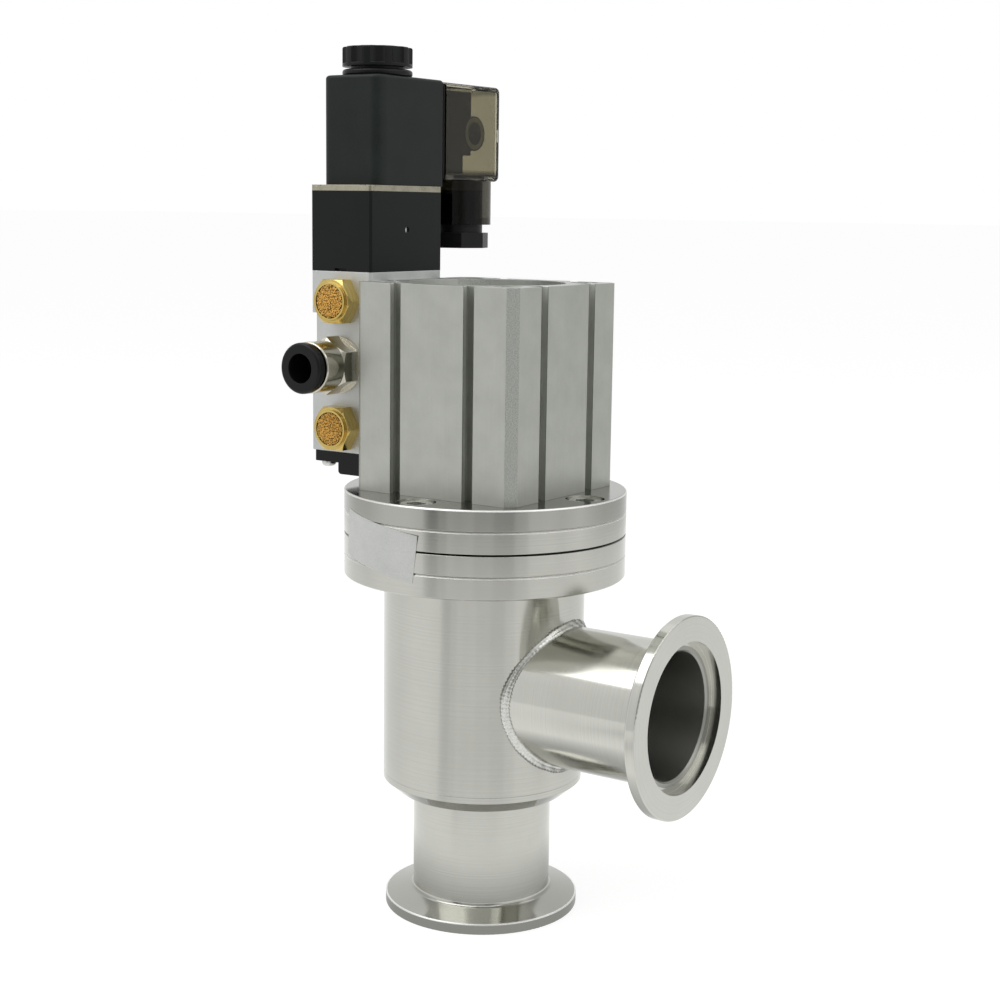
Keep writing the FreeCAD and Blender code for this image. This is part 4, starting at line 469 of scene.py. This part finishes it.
def shade_property(name, description, code):
    """A colour that the user may change, from its sRGB hex value."""
    return bpy.props.FloatVectorProperty(
        name=name, description=description, default=linear(code), size=4, min=0.0, max=1.0, subtype="COLOR",
    )


class StudioSettings(bpy.types.PropertyGroup):
    """Floor, lamps and the card that the metal mirrors."""

    floor_size: length_property("Floor size", "Side of the square floor", 60.0, min=1.0)
    key_power: bpy.props.FloatProperty(
        name="Key lamp", description="Power of the large lamp at the upper left", default=6.5, min=0.0,
        unit="POWER",
    )
    fill_power: bpy.props.FloatProperty(
        name="Fill lamp", description="Power of the large lamp at the right", default=4.3, min=0.0,
        unit="POWER",
    )
    lamp_size: length_property("Lamp size", "Side of each square lamp", 1.2, min=0.1)
    card_radius: length_property("Card radius", "Radius of the ring card round the part", 0.62, min=0.4)
    card_height: length_property("Card height", "Height of the ring card", 0.62, min=0.1)
    room_light: bpy.props.FloatProperty(
        name="Room light", description="Share of white that the room sheds on the part", default=0.5,
        min=0.0, max=1.0, subtype="FACTOR",
    )


class FinishColours(bpy.types.PropertyGroup):
    """The darker and lighter shade of each finish, and the single tones."""

    __annotations__ = {
        f"{key}_{side}": shade_property(f"{name}, {side}", f"{side.title()}er shade of {what}", code)
        for key, name, what, *codes in PAIRED_SHADES for side, code in zip(("dark", "light"), codes)
    } | {key: shade_property(name, what, code) for key, name, what, code in SINGLE_SHADES}


class PieceSizes(bpy.types.PropertyGroup):
    """Sizes of the pieces that are modelled here."""

    weld_r: length_property("Weld size", "Reach of the weld bead along body and tube", 2.0 * MM)
    weld_ripples: bpy.props.IntProperty(
        name="Weld ripples", description="Ripples round the bead", default=112, min=20,
    )
    ripple_height: length_property("Ripple height", "Height of each ripple of the bead", 0.42 * MM)
    folds: bpy.props.IntProperty(name="Bellows folds", description="Folds of the bellows", default=17, min=4)
    fold_wall: length_property("Bellows wall", "Thickness of the bellows' sheet", 0.3 * MM)
    grain_pitch: length_property("Bronze grain", "Distance between the sintered discs' grains", 0.46 * MM)
    label_lift: length_property("Label lift", "How far the label's loose corner stands off", 0.35 * MM)
    label_tilt: bpy.props.FloatProperty(
        name="Label tilt", description="How far the label is turned from level", default=math.radians(7.0),
        subtype="ANGLE", unit="ROTATION",
    )


class STUDIO_OT_angle_valve(bpy.types.Operator):
    """Set up the floor, the lamps, the ring card, the world and the camera"""

    bl_idname = "angle_valve.studio"
    bl_label = "Studio and camera"

    def execute(self, context):
        studio = context.scene.valve_studio
        clear_selection()
        bpy.ops.mesh.primitive_plane_add(size=studio.floor_size, location=(0, 0, 0))
        floor = context.active_object
        floor.name = "floor"
        floor.data.materials.append(self.paper())
        clear_selection()
        gap_below = 2 * MM
        bpy.ops.mesh.primitive_cylinder_add(
            vertices=128, radius=studio.card_radius, depth=studio.card_height, end_fill_type="NOTHING",
            location=(0, 0, studio.card_height / 2 + gap_below),
        )
        card = context.active_object
        card.name = "ring_card"
        card.data.materials.append(self.card())
        for ray in ("camera", "diffuse", "shadow", "transmission"):
            setattr(card, "visible_" + ray, False)
        self.lamp("key_lamp", KEY_STAND, studio.key_power, studio.lamp_size)
        self.lamp("fill_lamp", FILL_STAND, studio.fill_power, studio.lamp_size)
        self.room(context, studio.room_light)
        self.camera(context)
        return {"FINISHED"}

    def emptied(self, owner):
        """What puts nodes into an owner's node tree, which is emptied first."""
        owner.use_nodes = True
        owner.node_tree.nodes.clear()
        return partial(add_node, owner.node_tree)

    def seen(self, put):
        """One for the camera's, mirrors' and clear plastic's view, zero for light that falls on the part."""
        rays = put("LightPath", {})
        seen = reckon(put, "ADD", rays["Is Camera Ray"], rays["Is Glossy Ray"])
        through = rays["Is Transmission Ray"]
        return put("Math", {0: seen, 1: through}, operation="ADD", use_clamp=True)[0]

    def paper(self):
        """White paper, faintly shadowed. Mirrored, it is banded as the card is, with painted shadow under the
        part.
        """
        material = bpy.data.materials.new("white_paper")
        put = self.emptied(material)
        matt = put("BsdfDiffuse", {"Color": [PAPER_GREY] * 3 + [1]})[0]
        tint = put("BsdfDiffuse", {"Color": [PAPER_SHADED] * 3 + [1]})[0]
        white = put("Emission", {"Color": (1, 1, 1, 1), "Strength": PAPER_STEADY})[0]
        veil = put("AddShader", {0: tint, 1: white})[0]
        both = put("MixShader", {0: self.seen(put), 1: matt, 2: veil})[0]
        place = put("TexCoord", {})["Object"]
        away = reckon_vectors(put, "LENGTH", place)
        banded = ranged(put, ring_card_shade(put), to=(0.68, 1.0))
        far = ranged(put, away, (70 * MM, 160 * MM))
        # Painted shadow: what the metal mirrors of the paper is dimmed near the part
        near = ranged(put, away, (35 * MM, 70 * MM), (0.52, 1.0))
        level = put("Mix", {"Factor": far, "A": near, "B": banded})[0]
        bands = put("Emission", {"Color": (1, 1, 1, 1), "Strength": level})[0]
        mirrored = put("LightPath", {})["Is Glossy Ray"]
        both = put("MixShader", {0: mirrored, 1: both, 2: bands})[0]
        put("OutputMaterial", {"Surface": both})
        return material

    def card(self):
        """Card whose grey changes round the part."""
        material = bpy.data.materials.new("ring_card_grey")
        put = self.emptied(material)
        glow = put("Emission", {"Color": ring_card_shade(put), "Strength": 1.0})[0]
        put("OutputMaterial", {"Surface": glow})
        return material

    def lamp(self, name, stand, power, size):
        """Large soft lamp aimed at the part's middle."""
        aside, ahead, up = stand
        place = PART_MIDDLE + aside * CAMERA_RIGHT + ahead * CAMERA_AHEAD + Vector((0, 0, up))
        bpy.ops.object.light_add(type="AREA", location=place)
        lamp = bpy.context.active_object
        lamp.name = name
        lamp.rotation_euler = (PART_MIDDLE - place).to_track_quat("-Z", "Y").to_euler()
        lamp.data.energy = power
        lamp.data.size = size

    def room(self, context, light):
        """White room: full strength where it is seen, less where it lights the part."""
        world = context.scene.world or bpy.data.worlds.new("room")
        context.scene.world = world
        put = self.emptied(world)
        level = ranged(put, self.seen(put), to=(light, 1.0))
        glow = put("Background", {"Color": (1, 1, 1, 1), "Strength": level})[0]
        put("OutputWorld", {"Surface": glow})

    def camera(self, context):
        """Camera at the photograph's place."""
        bpy.ops.object.camera_add(location=CAMERA_AT)
        camera = context.active_object
        turn = Matrix((CAMERA_RIGHT, CAMERA_UP, -CAMERA_AHEAD)).transposed()
        camera.rotation_euler = turn.to_euler()
        camera.data.lens = LENS
        camera.data.sensor_width = SENSOR
        camera.data.clip_start = 0.01
        context.scene.camera = camera
        context.scene.view_settings.view_transform = "Standard"


class STEEL_OT_angle_valve(bpy.types.Operator):
    """Finish the turned stainless body, its flanges, tubes, disc and stem"""

    bl_idname = "angle_valve.turned_steel"
    bl_label = "Turned stainless parts"

    def execute(self, context):
        steel = shades("steel")
        flange_rim = FLANGE_R - RIM_REACH
        upright = turned_steel("turned_stainless_upright", steel, UPRIGHT, ORIGIN)
        coat(upright, "valve_body", "body_foot", "bellows_ring", "stem", "valve_disc")
        # Painted shade below the taper's top and on the end face, and a painted highlight on the rim's edge
        foot = turned_steel("turned_stainless_foot", steel, (0, 0, -1), ORIGIN, band=FOOT_TAPER,
                            highlight_lines=(FOOT_EDGE,), rim=FOOT_R - RIM_REACH)
        coat(foot, "inlet_stub")
        # Painted highlight below the lower groove, painted shade in the gap between the flanges
        lower = turned_steel("turned_stainless_lower_flange", steel, UPRIGHT, ORIGIN, highlight_lines=GROOVES[:1],
                             rim=flange_rim, joint=JOINT_Z)
        coat(lower, "body_flange")
        # Painted shade above the upper groove and on the top face, painted highlights on the groove and the
        # top edge
        upper = turned_steel("turned_stainless_upper_flange", steel, UPRIGHT, ORIGIN, band=GROOVES[1],
                             highlight_lines=(GROOVES[1], TOP_EDGE), rim=flange_rim, joint=JOINT_Z)
        coat(upper, "bonnet_flange", "rod_guide")
        # Painted light: the side port's steel takes the lighter shades
        lying = turned_steel("turned_stainless_side", shades("port"), (1, 0, 0), PORT_AXIS,
                             bore=TUBE_R - BORE_LIP)
        coat(lying, "outlet_stub")
        return {"FINISHED"}


class WELD_OT_angle_valve(bpy.types.Operator):
    """Lay the rippled weld bead where the side tube meets the body"""

    bl_idname = "angle_valve.weld_bead"
    bl_label = "Weld bead"

    def execute(self, context):
        sizes = context.scene.valve_pieces
        clear_selection()
        bpy.ops.mesh.primitive_torus_add(
            major_radius=TUBE_R, minor_radius=sizes.weld_r, major_segments=728, minor_segments=18,
            location=PORT_AXIS, rotation=(0, math.pi / 2, 0),
        )
        bpy.ops.object.shade_smooth()
        # 304 filler wire, laid by hand and brushed: bright crests over duller troughs, scratched every 0.4 mm
        tones = (shades("steel")[0], shades("screw")[1])
        finish = grained("weld_bead_stainless", tones, 1.0, (0.16, 0.3), 0.4 * MM, 0.03 * MM)
        bead = settle("outlet_weld_bead", "housing", "stainless", finish, "outlet_weld")
        for vertex in bead.data.vertices:
            off = vertex.co - PORT_AXIS
            around = math.atan2(off.z, off.y)
            middle = Vector((0, math.cos(around), math.sin(around))) * TUBE_R
            vertex.co = PORT_AXIS + self.laid(around, middle, off - middle, sizes)
        return {"FINISHED"}

    def laid(self, around, middle, section, sizes):
        """Where a point of the ring ends up: on the saddle, in ripples that trail at their edges."""
        trail, hollow = 1.8, 0.34
        waves = ((0.05, 7, 0), (0.03, 17, 1))
        thin_share, thin_at, thin_width = 0.3, 2.4, 0.5
        lean = section.x / sizes.weld_r
        ripple = 0.5 + 0.5 * math.sin(sizes.weld_ripples * around - trail * lean * lean)
        middle.x = math.sqrt(BODY_R ** 2 - middle.y ** 2)
        wander = sum((size * math.sin(count * around + start) for size, count, start in waves), 1.0)
        wander -= thin_share * math.exp(-((around - thin_at) / thin_width) ** 2)
        flat = 1 - hollow * abs(2 * lean * math.sqrt(max(0.0, 1 - lean * lean)))
        ripple_out = section.normalized() * sizes.ripple_height * (ripple - 1)
        return middle + section * wander * flat + ripple_out


class BELLOWS_OT_angle_valve(bpy.types.Operator):
    """Model the edge-welded bellows round the stem, which on the real valve closes up as the valve opens"""

    bl_idname = "angle_valve.bellows"
    bl_label = "Bellows"

    def execute(self, context):
        sizes = context.scene.valve_pieces
        collar, fold_depth, stroke = 1.2 * MM, 3.8 * MM, 20 * MM
        low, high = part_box("bellows")
        outer = high.y - sizes.fold_wall / 2
        inner = outer - fold_depth
        step = (high.z - low.z - 2 * collar) / (2 * sizes.folds)
        clear_selection()
        bpy.ops.mesh.primitive_circle_add(vertices=96, radius=inner, location=(0, 0, low.z))
        bpy.ops.object.mode_set(mode="EDIT")
        self.raise_edge(collar, inner, inner)
        radius = inner
        for k in range(2 * sizes.folds):
            target = inner if k % 2 else outer
            self.raise_edge(step, radius, target)
            radius = target
        self.raise_edge(collar, radius, radius)
        bpy.ops.object.mode_set(mode="OBJECT")
        face_outward()
        piece = context.active_object
        apply_modifier(piece, "SOLIDIFY", thickness=sizes.fold_wall, offset=0.0)
        apply_modifier(piece, "BEVEL", width=sizes.fold_wall / 3, segments=2, limit_method="ANGLE")
        bpy.ops.object.shade_smooth_by_angle(angle=math.radians(35))
        # 316L sheet, rolled and pressed: an even, slightly soft mirror with a roll grain of 0.6 mm
        finish = grained("bellows_sheet_stainless", shades("steel"), 1.0, (0.18, 0.3), 0.6 * MM, 0.01 * MM)
        piece = settle("bellows_folds", "housing", "stainless", finish, "bellows")
        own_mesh(piece)
        return {"FINISHED"}

    def raise_edge(self, step, before, after):
        """Extrude the open edge upward and bring it to a new radius."""
        bpy.ops.mesh.extrude_region_move(TRANSFORM_OT_translate={"value": (0, 0, step)})
        share = after / before
        if share != 1:
            bpy.ops.transform.resize(value=(share, share, 1))


class SPRING_OT_angle_valve(bpy.types.Operator):
    """Wind the spool's and the plunger's springs, which on the real valve close up as those move"""

    bl_idname = "angle_valve.springs"
    bl_label = "Coil springs"

    # Node, piece, wire, open turns, joint, side that it is pushed from and how far it is pushed
    COILS = (
        ("spool_spring", "spool_coil", 0.6 * MM, 6, "spool_shift", -1, 3.6 * MM),
        ("plunger_spring", "plunger_coil", 0.5 * MM, 6, "plunger_lift", 1, 1.5 * MM),
    )
    STEPS = 30

    def execute(self, context):
        # Spring steel wire, drawn and plated: bright along the wire, with drawing marks of 0.3 mm
        finish = grained("spring_wire", shades("screw"), 1.0, (0.2, 0.3), 0.3 * MM, 0.005 * MM)
        for coil in self.COILS:
            self.wind(finish, *coil)
        return {"FINISHED"}

    def wind(self, finish, node, name, wire, turns, joint, push, travel):
        """Wire wound between a node's ends, with a closed turn at each."""
        low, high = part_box(node)
        middle = (low + high) / 2
        mean_r = (high.x - low.x - wire) / 2
        height = high.z - low.z
        closed = wire * 1.02
        all_turns = turns + 2
        clear_selection()
        bpy.ops.mesh.primitive_circle_add(
            vertices=10, radius=wire / 2, location=(mean_r, 0, 0), rotation=(math.pi / 2, 0, 0),
        )
        bpy.ops.object.transform_apply(location=True, rotation=True, scale=True)
        piece = bpy.context.active_object
        steps = self.STEPS * all_turns
        apply_modifier(
            piece, "SCREW", angle=2 * math.pi * all_turns, steps=steps, render_steps=steps,
            screw_offset=float(all_turns), iterations=1, use_normal_calculate=True, use_merge_vertices=False,
        )
        slack = (height - wire - 2 * closed) / turns
        for vertex in piece.data.vertices:
            turn = vertex.co.z
            whole = min(max(round(turn * self.STEPS) / self.STEPS, 0.0), float(all_turns))
            rise = min(whole, 1.0) * closed
            rise += min(max(whole - 1.0, 0.0), turns) * slack
            rise += max(whole - turns - 1.0, 0.0) * closed
            vertex.co = Vector((vertex.co.x + middle.x, vertex.co.y + middle.y,
                                low.z + wire / 2 + rise + turn - whole))
        face_outward(fill=True)
        bpy.ops.object.shade_smooth_by_angle(angle=math.radians(60))
        piece = settle(name, "housing", "screw_steel", finish, node)
        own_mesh(piece)


class FASTENER_OT_angle_valve(bpy.types.Operator):
    """Finish the screws, nuts, retaining ring, core tube and other bright steel parts"""

    bl_idname = "angle_valve.fasteners"
    bl_label = "Screws and bright steel"

    def execute(self, context):
        # A2 stainless, cold headed: bright heads, duller in their sockets, with rubbed edges
        screws = grained("stainless_screws", shades("screw"), 1.0, (0.2, 0.32), 0.35 * MM, 0.008 * MM,
                         edge_wear_and_highlight=shades("steel")[1], edge_width=0.15 * MM)
        # Steel, punched and zinc plated: a warm grey with cloudy spots of 3 mm
        zinc = grained("zinc_plate", shades("zinc"), 1.0, (0.24, 0.42), 0.4 * MM, 0.01 * MM, cloud=3 * MM)
        coat(screws, "flange_screws", "disc_screw", "piston_nut", "cylinder_screws", "retaining_ring",
             "mounting_screws", "slot_nuts", "cover_screws", "override_pin", "core_tube", "plunger",
             "connector_screw")
        coat(zinc, "pilot_plate", "plate_screws")
        return {"FINISHED"}


class CYLINDER_OT_angle_valve(bpy.types.Operator):
    """Finish the anodised cylinder and the turned aluminium inside it"""

    bl_idname = "angle_valve.cylinder"
    bl_label = "Cylinder and pistons"

    def execute(self, context):
        tones = context.scene.valve_finishes
        barrel = extruded_anodised(shades("anodised"), tones.corner, tones.faced_top, tones.slot)
        coat(barrel, "cylinder_body")
        # 6082 aluminium, turned and left plain: pale, with open rings and a broad, soft gleam
        pale = shades("aluminium")
        cap = turned_steel("turned_aluminium_cap", pale, UPRIGHT, ORIGIN, (0.3, 0.42), 0.8 * MM, 0.35)
        coat(cap, "end_cap", "piston")
        spool_at = sum(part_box("spool"), Vector()) / 2
        spool = turned_steel("turned_aluminium_spool", pale, UPRIGHT, spool_at, (0.25, 0.38), 0.5 * MM, 0.35)
        coat(spool, "spool", "pilot_piston")
        return {"FINISHED"}


class BLOCK_OT_angle_valve(bpy.types.Operator):
    """Finish the bead-blasted valve block"""

    bl_idname = "angle_valve.valve_block"
    bl_label = "Valve block"

    def execute(self, context):
        # Aluminium, milled, bead blasted and clear anodised: an even, matt, pale grey with pits of 0.28 mm,
        # and paler edges that are partly wear and partly painted highlight
        blasted = grained("bead_blasted_aluminium", shades("blasted"), 1.0, (0.46, 0.6), 0.28 * MM, 0.03 * MM,
                          edge_wear_and_highlight=shades("aluminium")[1], edge_width=0.3 * MM)
        coat(blasted, "valve_block")
        return {"FINISHED"}


class PLASTIC_OT_angle_valve(bpy.types.Operator):
    """Finish the black covers, the pilot housing, the coil and its nut, and the release collar"""

    bl_idname = "angle_valve.plastics"
    bl_label = "Plastic parts"

    def execute(self, context):
        # Paler edges of the black parts, the coil and the pilot: partly rubbed wear, partly painted highlight
        rubbed_and_lit = context.scene.valve_finishes.dull_plastic
        # Acetal, injection moulded in a polished mould: deep black with a low gleam, and paler edges that are
        # partly rubbed wear and partly painted highlight
        black = grained("black_acetal", shades("black"), 0.0, (0.3, 0.4), 0.22 * MM, 0.006 * MM,
                        edge_wear_and_highlight=rubbed_and_lit, edge_width=0.3 * MM, gleam=0.26)
        # Epoxy resin, cast round the winding: black with a green cast, matt, with spark-eroded pits of 0.3 mm
        resin = grained("coil_resin", shades("coil"), 0.0, (0.42, 0.56), 0.3 * MM, 0.02 * MM,
                        edge_wear_and_highlight=rubbed_and_lit, edge_width=0.4 * MM, gleam=0.3)
        # Nylon with glass fibres, moulded: black, a little greyer where fibres reach the skin
        pilot = grained("glass_filled_nylon", shades("pilot"), 0.0, (0.36, 0.5), 0.25 * MM, 0.01 * MM,
                        edge_wear_and_highlight=rubbed_and_lit, edge_width=0.3 * MM, gleam=0.22)
        coat(black, "spool_cover", "coil_washer", "coil_nut", "release_collar", "gland_nut")
        coat(self.ringed(), "terminal_block")
        coat(resin, "coil")
        coat(pilot, "pilot_body")
        return {"FINISHED"}

    def ringed(self):
        """Black nylon with a painted highlight: a paler rim round the screw's socket, whose axis lies along
        x.
        """
        socket_back, ring_r, ring_half = 5 * MM, 4 * MM, 0.7 * MM
        low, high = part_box("terminal_block")
        centre = Vector((0, high.y - socket_back, (low.z + high.z) / 2))
        material, put, shader, place = new_finish("terminal_block_nylon")
        off = reckon_vectors(put, "SUBTRACT", place, centre)
        off = reckon_vectors(put, "MULTIPLY", off, (0, 1, 1))
        radius = reckon_vectors(put, "LENGTH", off)
        # Painted highlight: a paler ring round the socket
        rim = reckon(put, "COMPARE", radius, ring_r, ring_half)
        colour = blend(put, rim, shades("black")[0], bpy.context.scene.valve_finishes.socket_ring)
        feed(shader, {"Base Color": colour, "Roughness": 0.4, "Specular IOR Level": 0.3})
        return material


class RUBBER_OT_angle_valve(bpy.types.Operator):
    """Finish the rubber rings, the gasket and the cable grommet"""

    bl_idname = "angle_valve.rubber"
    bl_label = "Rubber parts"

    def execute(self, context):
        # Nitrile rubber, moulded: black and dull, with a pale bloom
        rubber = grained("moulded_nitrile", shades("rubber"), 0.0, (0.55, 0.75), 0.3 * MM, 0.01 * MM,
                         gleam=0.3)
        coat(rubber, "flange_seal", "rod_seal", "disc_seal", "piston_seal", "cylinder_base_seal",
             "end_cap_seal", "port_seals", "spool_seals", "connector_gasket", "gland_grommet", "fitting_seal")
        return {"FINISHED"}


class SILENCER_OT_angle_valve(bpy.types.Operator):
    """Finish the brass silencers and the bush, and press the grains of the sintered discs"""

    bl_idname = "angle_valve.silencers"
    bl_label = "Silencers"

    # In grain pitches: a grain's size, its row's distance, how far it strays and how near the rim it comes
    GRAIN = 0.6
    ROW = 0.87
    STRAY = 0.18
    RIM = 0.45

    def execute(self, context):
        low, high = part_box("silencer_discs")
        middle_x = (low.x + high.x) / 2
        for node in ("upper_silencer", "lower_silencer"):
            node_low, node_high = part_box(node)
            centre = (middle_x, 0, (node_low.z + node_high.z) / 2)
            # Free-cutting brass, turned: a warm, pale yellow with rings and sharp highlights
            brass = turned_steel(node + "_brass", shades("brass"), (0, 1, 0), centre,
                                 (0.15, 0.24), 0.4 * MM, 0.3)
            coat(brass, node)
        bronze = self.sintered(low.y, *shades("bronze"))
        coat(bronze, "rod_bush", "silencer_discs")
        radius = (high.x - low.x) / 2
        for name, z in (("lower_sintered_disc", low.z + radius), ("upper_sintered_disc", high.z - radius)):
            self.press(name, Vector((middle_x, low.y, z)), radius, high.y - low.y, bronze)
        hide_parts("silencer_discs")
        return {"FINISHED"}

    def sintered(self, face, dark, light):
        """Bronze powder, pressed and sintered, with a grit of 0.4 mm: bright grains over pores in painted
        shade.
        """
        crest, pore = 0.26 * MM, 0.44 * MM
        material, put, shader, place = new_finish("sintered_bronze")
        grit = put("TexNoise", {"Vector": place, "Scale": 1 / (0.4 * MM), "Detail": 2.0})[0]
        deep = put("SeparateXYZ", {"Vector": place})[1]
        # Painted shade: darker the deeper below the grains' crests
        bright = ranged(put, deep, (face + pore, face + crest))
        rough = ranged(put, grit, to=(0.3, 0.5))
        bump = put("Bump", {"Height": grit, "Distance": 0.01 * MM})[0]
        colour = blend(put, bright, dark, light)
        feed(shader, {"Base Color": colour, "Metallic": 1.0, "Roughness": rough, "Normal": bump})
        return material

    def press(self, name, face, radius, thickness, bronze):
        """One disc: a backing and its face of grains, seeded by the disc's name."""
        depth, depth_spread, dome_share = 0.62, 0.3, 0.03
        pitch = bpy.context.scene.valve_pieces.grain_pitch
        seeded = random.Random(name)
        clear_selection()
        bpy.ops.mesh.primitive_ico_sphere_add(subdivisions=1, radius=pitch * self.GRAIN, location=face)
        grain = bpy.context.active_object
        bpy.ops.object.transform_apply(location=True, rotation=True, scale=True)
        grains = []
        rows = int(radius / pitch / self.ROW) + 1
        for row in range(-rows, rows + 1):
            for column in range(-rows - 1, rows + 2):
                x = (column + 0.5 * (row % 2)) * pitch + seeded.uniform(-self.STRAY, self.STRAY) * pitch
                z = row * pitch * self.ROW + seeded.uniform(-self.STRAY, self.STRAY) * pitch
                if math.hypot(x, z) > radius - pitch * self.RIM:
                    continue
                piece = grain.copy()
                piece.data = grain.data.copy()
                bpy.context.scene.collection.objects.link(piece)
                turn = Matrix.Rotation(seeded.uniform(0, math.pi), 4, (seeded.random(), seeded.random(), 1))
                size = seeded.uniform(0.75, 1.1)
                dome = (x * x + z * z) / radius ** 2 * thickness * dome_share
                y = pitch * (depth + seeded.uniform(0, depth_spread)) + dome
                piece.data.transform(Matrix.Translation(-face))
                piece.data.transform(
                    Matrix.Translation(face + Vector((x, y, z))) @ turn @ Matrix.Scale(size, 4))
                grains.append(piece)
        bpy.ops.object.select_all(action="DESELECT")
        bpy.data.objects.remove(grain)
        bpy.ops.mesh.primitive_cylinder_add(
            vertices=64, radius=radius, depth=thickness - pitch, rotation=(math.pi / 2, 0, 0),
            location=face + Vector((0, (thickness + pitch) / 2, 0)),
        )
        for piece in grains:
            piece.select_set(True)
        bpy.ops.object.join()
        bpy.ops.object.shade_smooth_by_angle(angle=math.radians(50))
        return settle(name, "housing", "bronze", bronze)


class FITTING_OT_angle_valve(bpy.types.Operator):
    """Finish the nickel-plated push-in fitting"""

    bl_idname = "angle_valve.air_fitting"
    bl_label = "Air fitting"

    def execute(self, context):
        # Brass, turned and bright nickel plated: a warm mirror, sharper than the steel's
        nickel = grained("bright_nickel", shades("nickel"), 1.0, (0.07, 0.14), 0.5 * MM, 0.004 * MM,
                         edge_width=0.15 * MM)
        coat(nickel, "fitting_body")
        return {"FINISHED"}


class CONNECTOR_OT_angle_valve(bpy.types.Operator):
    """Finish the smoky case of the cable connector"""

    bl_idname = "angle_valve.connector"
    bl_label = "Cable connector"

    def execute(self, context):
        case_wall = 2.1 * MM
        case_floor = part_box("terminal_block")[0].z - case_wall
        coat(smoky_polycarbonate(context.scene.valve_finishes.smoke, 0.09, case_floor), "connector_housing")
        return {"FINISHED"}


class LABEL_OT_angle_valve(bpy.types.Operator):
    """Lay the blank paper seal round the flanges, sunk a little where it crosses their grooves"""

    bl_idname = "angle_valve.label"
    bl_label = "Blank seal"

    def execute(self, context):
        sizes = context.scene.valve_pieces
        width, height, thickness = 29.6 * MM, 12.8 * MM, 0.1 * MM
        facing = math.radians(-104.6)
        mid_z = JOINT_Z - 0.2 * MM
        glued, sunk, raised = 0.07 * MM, 0.04 * MM, 0.05 * MM
        groove_half, joint_half = 0.45 * MM, 0.35 * MM
        wrinkle, wrinkle_along, wrinkle_across, wrinkle_bend = 0.02 * MM, 2.3 * MM, 1.7 * MM, 1.3
        loose_from, loose_rate = 0.72, 4
        clear_selection()
        bpy.ops.mesh.primitive_grid_add(x_subdivisions=120, y_subdivisions=56, size=1, location=(0, 0, 0))
        piece = context.active_object
        cos_t, sin_t = math.cos(sizes.label_tilt), math.sin(sizes.label_tilt)
        for vertex in piece.data.vertices:
            u, v = vertex.co.x * width, vertex.co.y * height
            along, up = u * cos_t + v * sin_t, v * cos_t - u * sin_t
            z = mid_z + up
            sink = sum(math.exp(-((z - line) / groove_half) ** 2) for line in GROOVES)
            crease = math.exp(-((z - JOINT_Z) / joint_half) ** 2)
            corner = max(0.0, u / width + v / height - loose_from) * loose_rate
            wave = wrinkle * math.sin(u / wrinkle_along + wrinkle_bend * math.sin(v / wrinkle_across))
            stand = glued - sunk * sink + raised * crease + wave + sizes.label_lift * corner ** 2
            radius = FLANGE_R + stand
            angle = facing + along / FLANGE_R
            vertex.co = Vector((radius * math.cos(angle), radius * math.sin(angle), z))
        face_outward()
        apply_modifier(piece, "SOLIDIFY", thickness=thickness, offset=0.0)
        bpy.ops.object.shade_smooth_by_angle(angle=math.radians(40))
        # Coated label paper, die cut: white gone grey, satin, with fibres drawn at 0.5 mm so that they show
        film = grained("blank_paper_film", shades("film"), 0.0, (0.34, 0.48), 0.5 * MM, 0.012 * MM,
                       edge_width=0.05 * MM)
        settle("blank_seal", "housing", "label_paper", film, "seal_label")
        return {"FINISHED"}


PIECES = (
    STUDIO_OT_angle_valve, STEEL_OT_angle_valve, WELD_OT_angle_valve, BELLOWS_OT_angle_valve,
    SPRING_OT_angle_valve, FASTENER_OT_angle_valve, CYLINDER_OT_angle_valve, BLOCK_OT_angle_valve,
    PLASTIC_OT_angle_valve, RUBBER_OT_angle_valve, SILENCER_OT_angle_valve, FITTING_OT_angle_valve,
    CONNECTOR_OT_angle_valve, LABEL_OT_angle_valve,
)


class VIEW3D_PT_angle_valve(bpy.types.Panel):
    """Sidebar list of the valve's pieces and settings"""

    bl_label = "Angle valve"
    bl_space_type = "VIEW_3D"
    bl_region_type = "UI"
    bl_category = "Angle valve"

    def draw(self, context):
        for piece in PIECES:
            self.layout.operator(piece.bl_idname)
        scene = context.scene
        for settings in (scene.valve_studio, scene.valve_pieces, scene.valve_finishes):
            box = self.layout.box()
            for name in settings.bl_rna.properties.keys():
                if name not in ("rna_type", "name"):
                    box.prop(settings, name)


CLASSES = (StudioSettings, FinishColours, PieceSizes, *PIECES, VIEW3D_PT_angle_valve)


def register():
    """Add the classes and their settings."""
    for made in CLASSES:
        bpy.utils.register_class(made)
    bpy.types.Scene.valve_studio = bpy.props.PointerProperty(type=StudioSettings)
    bpy.types.Scene.valve_finishes = bpy.props.PointerProperty(type=FinishColours)
    bpy.types.Scene.valve_pieces = bpy.props.PointerProperty(type=PieceSizes)


def unregister():
    """Take the classes and their settings away."""
    del bpy.types.Scene.valve_pieces
    del bpy.types.Scene.valve_finishes
    del bpy.types.Scene.valve_studio
    for made in reversed(CLASSES):
        bpy.utils.unregister_class(made)


def main():
    """Register and make every piece in order."""
    register()
    for piece in PIECES:
        group, name = piece.bl_idname.split(".")
        getattr(getattr(bpy.ops, group), name)()


if __name__ == "__main__":
    main()
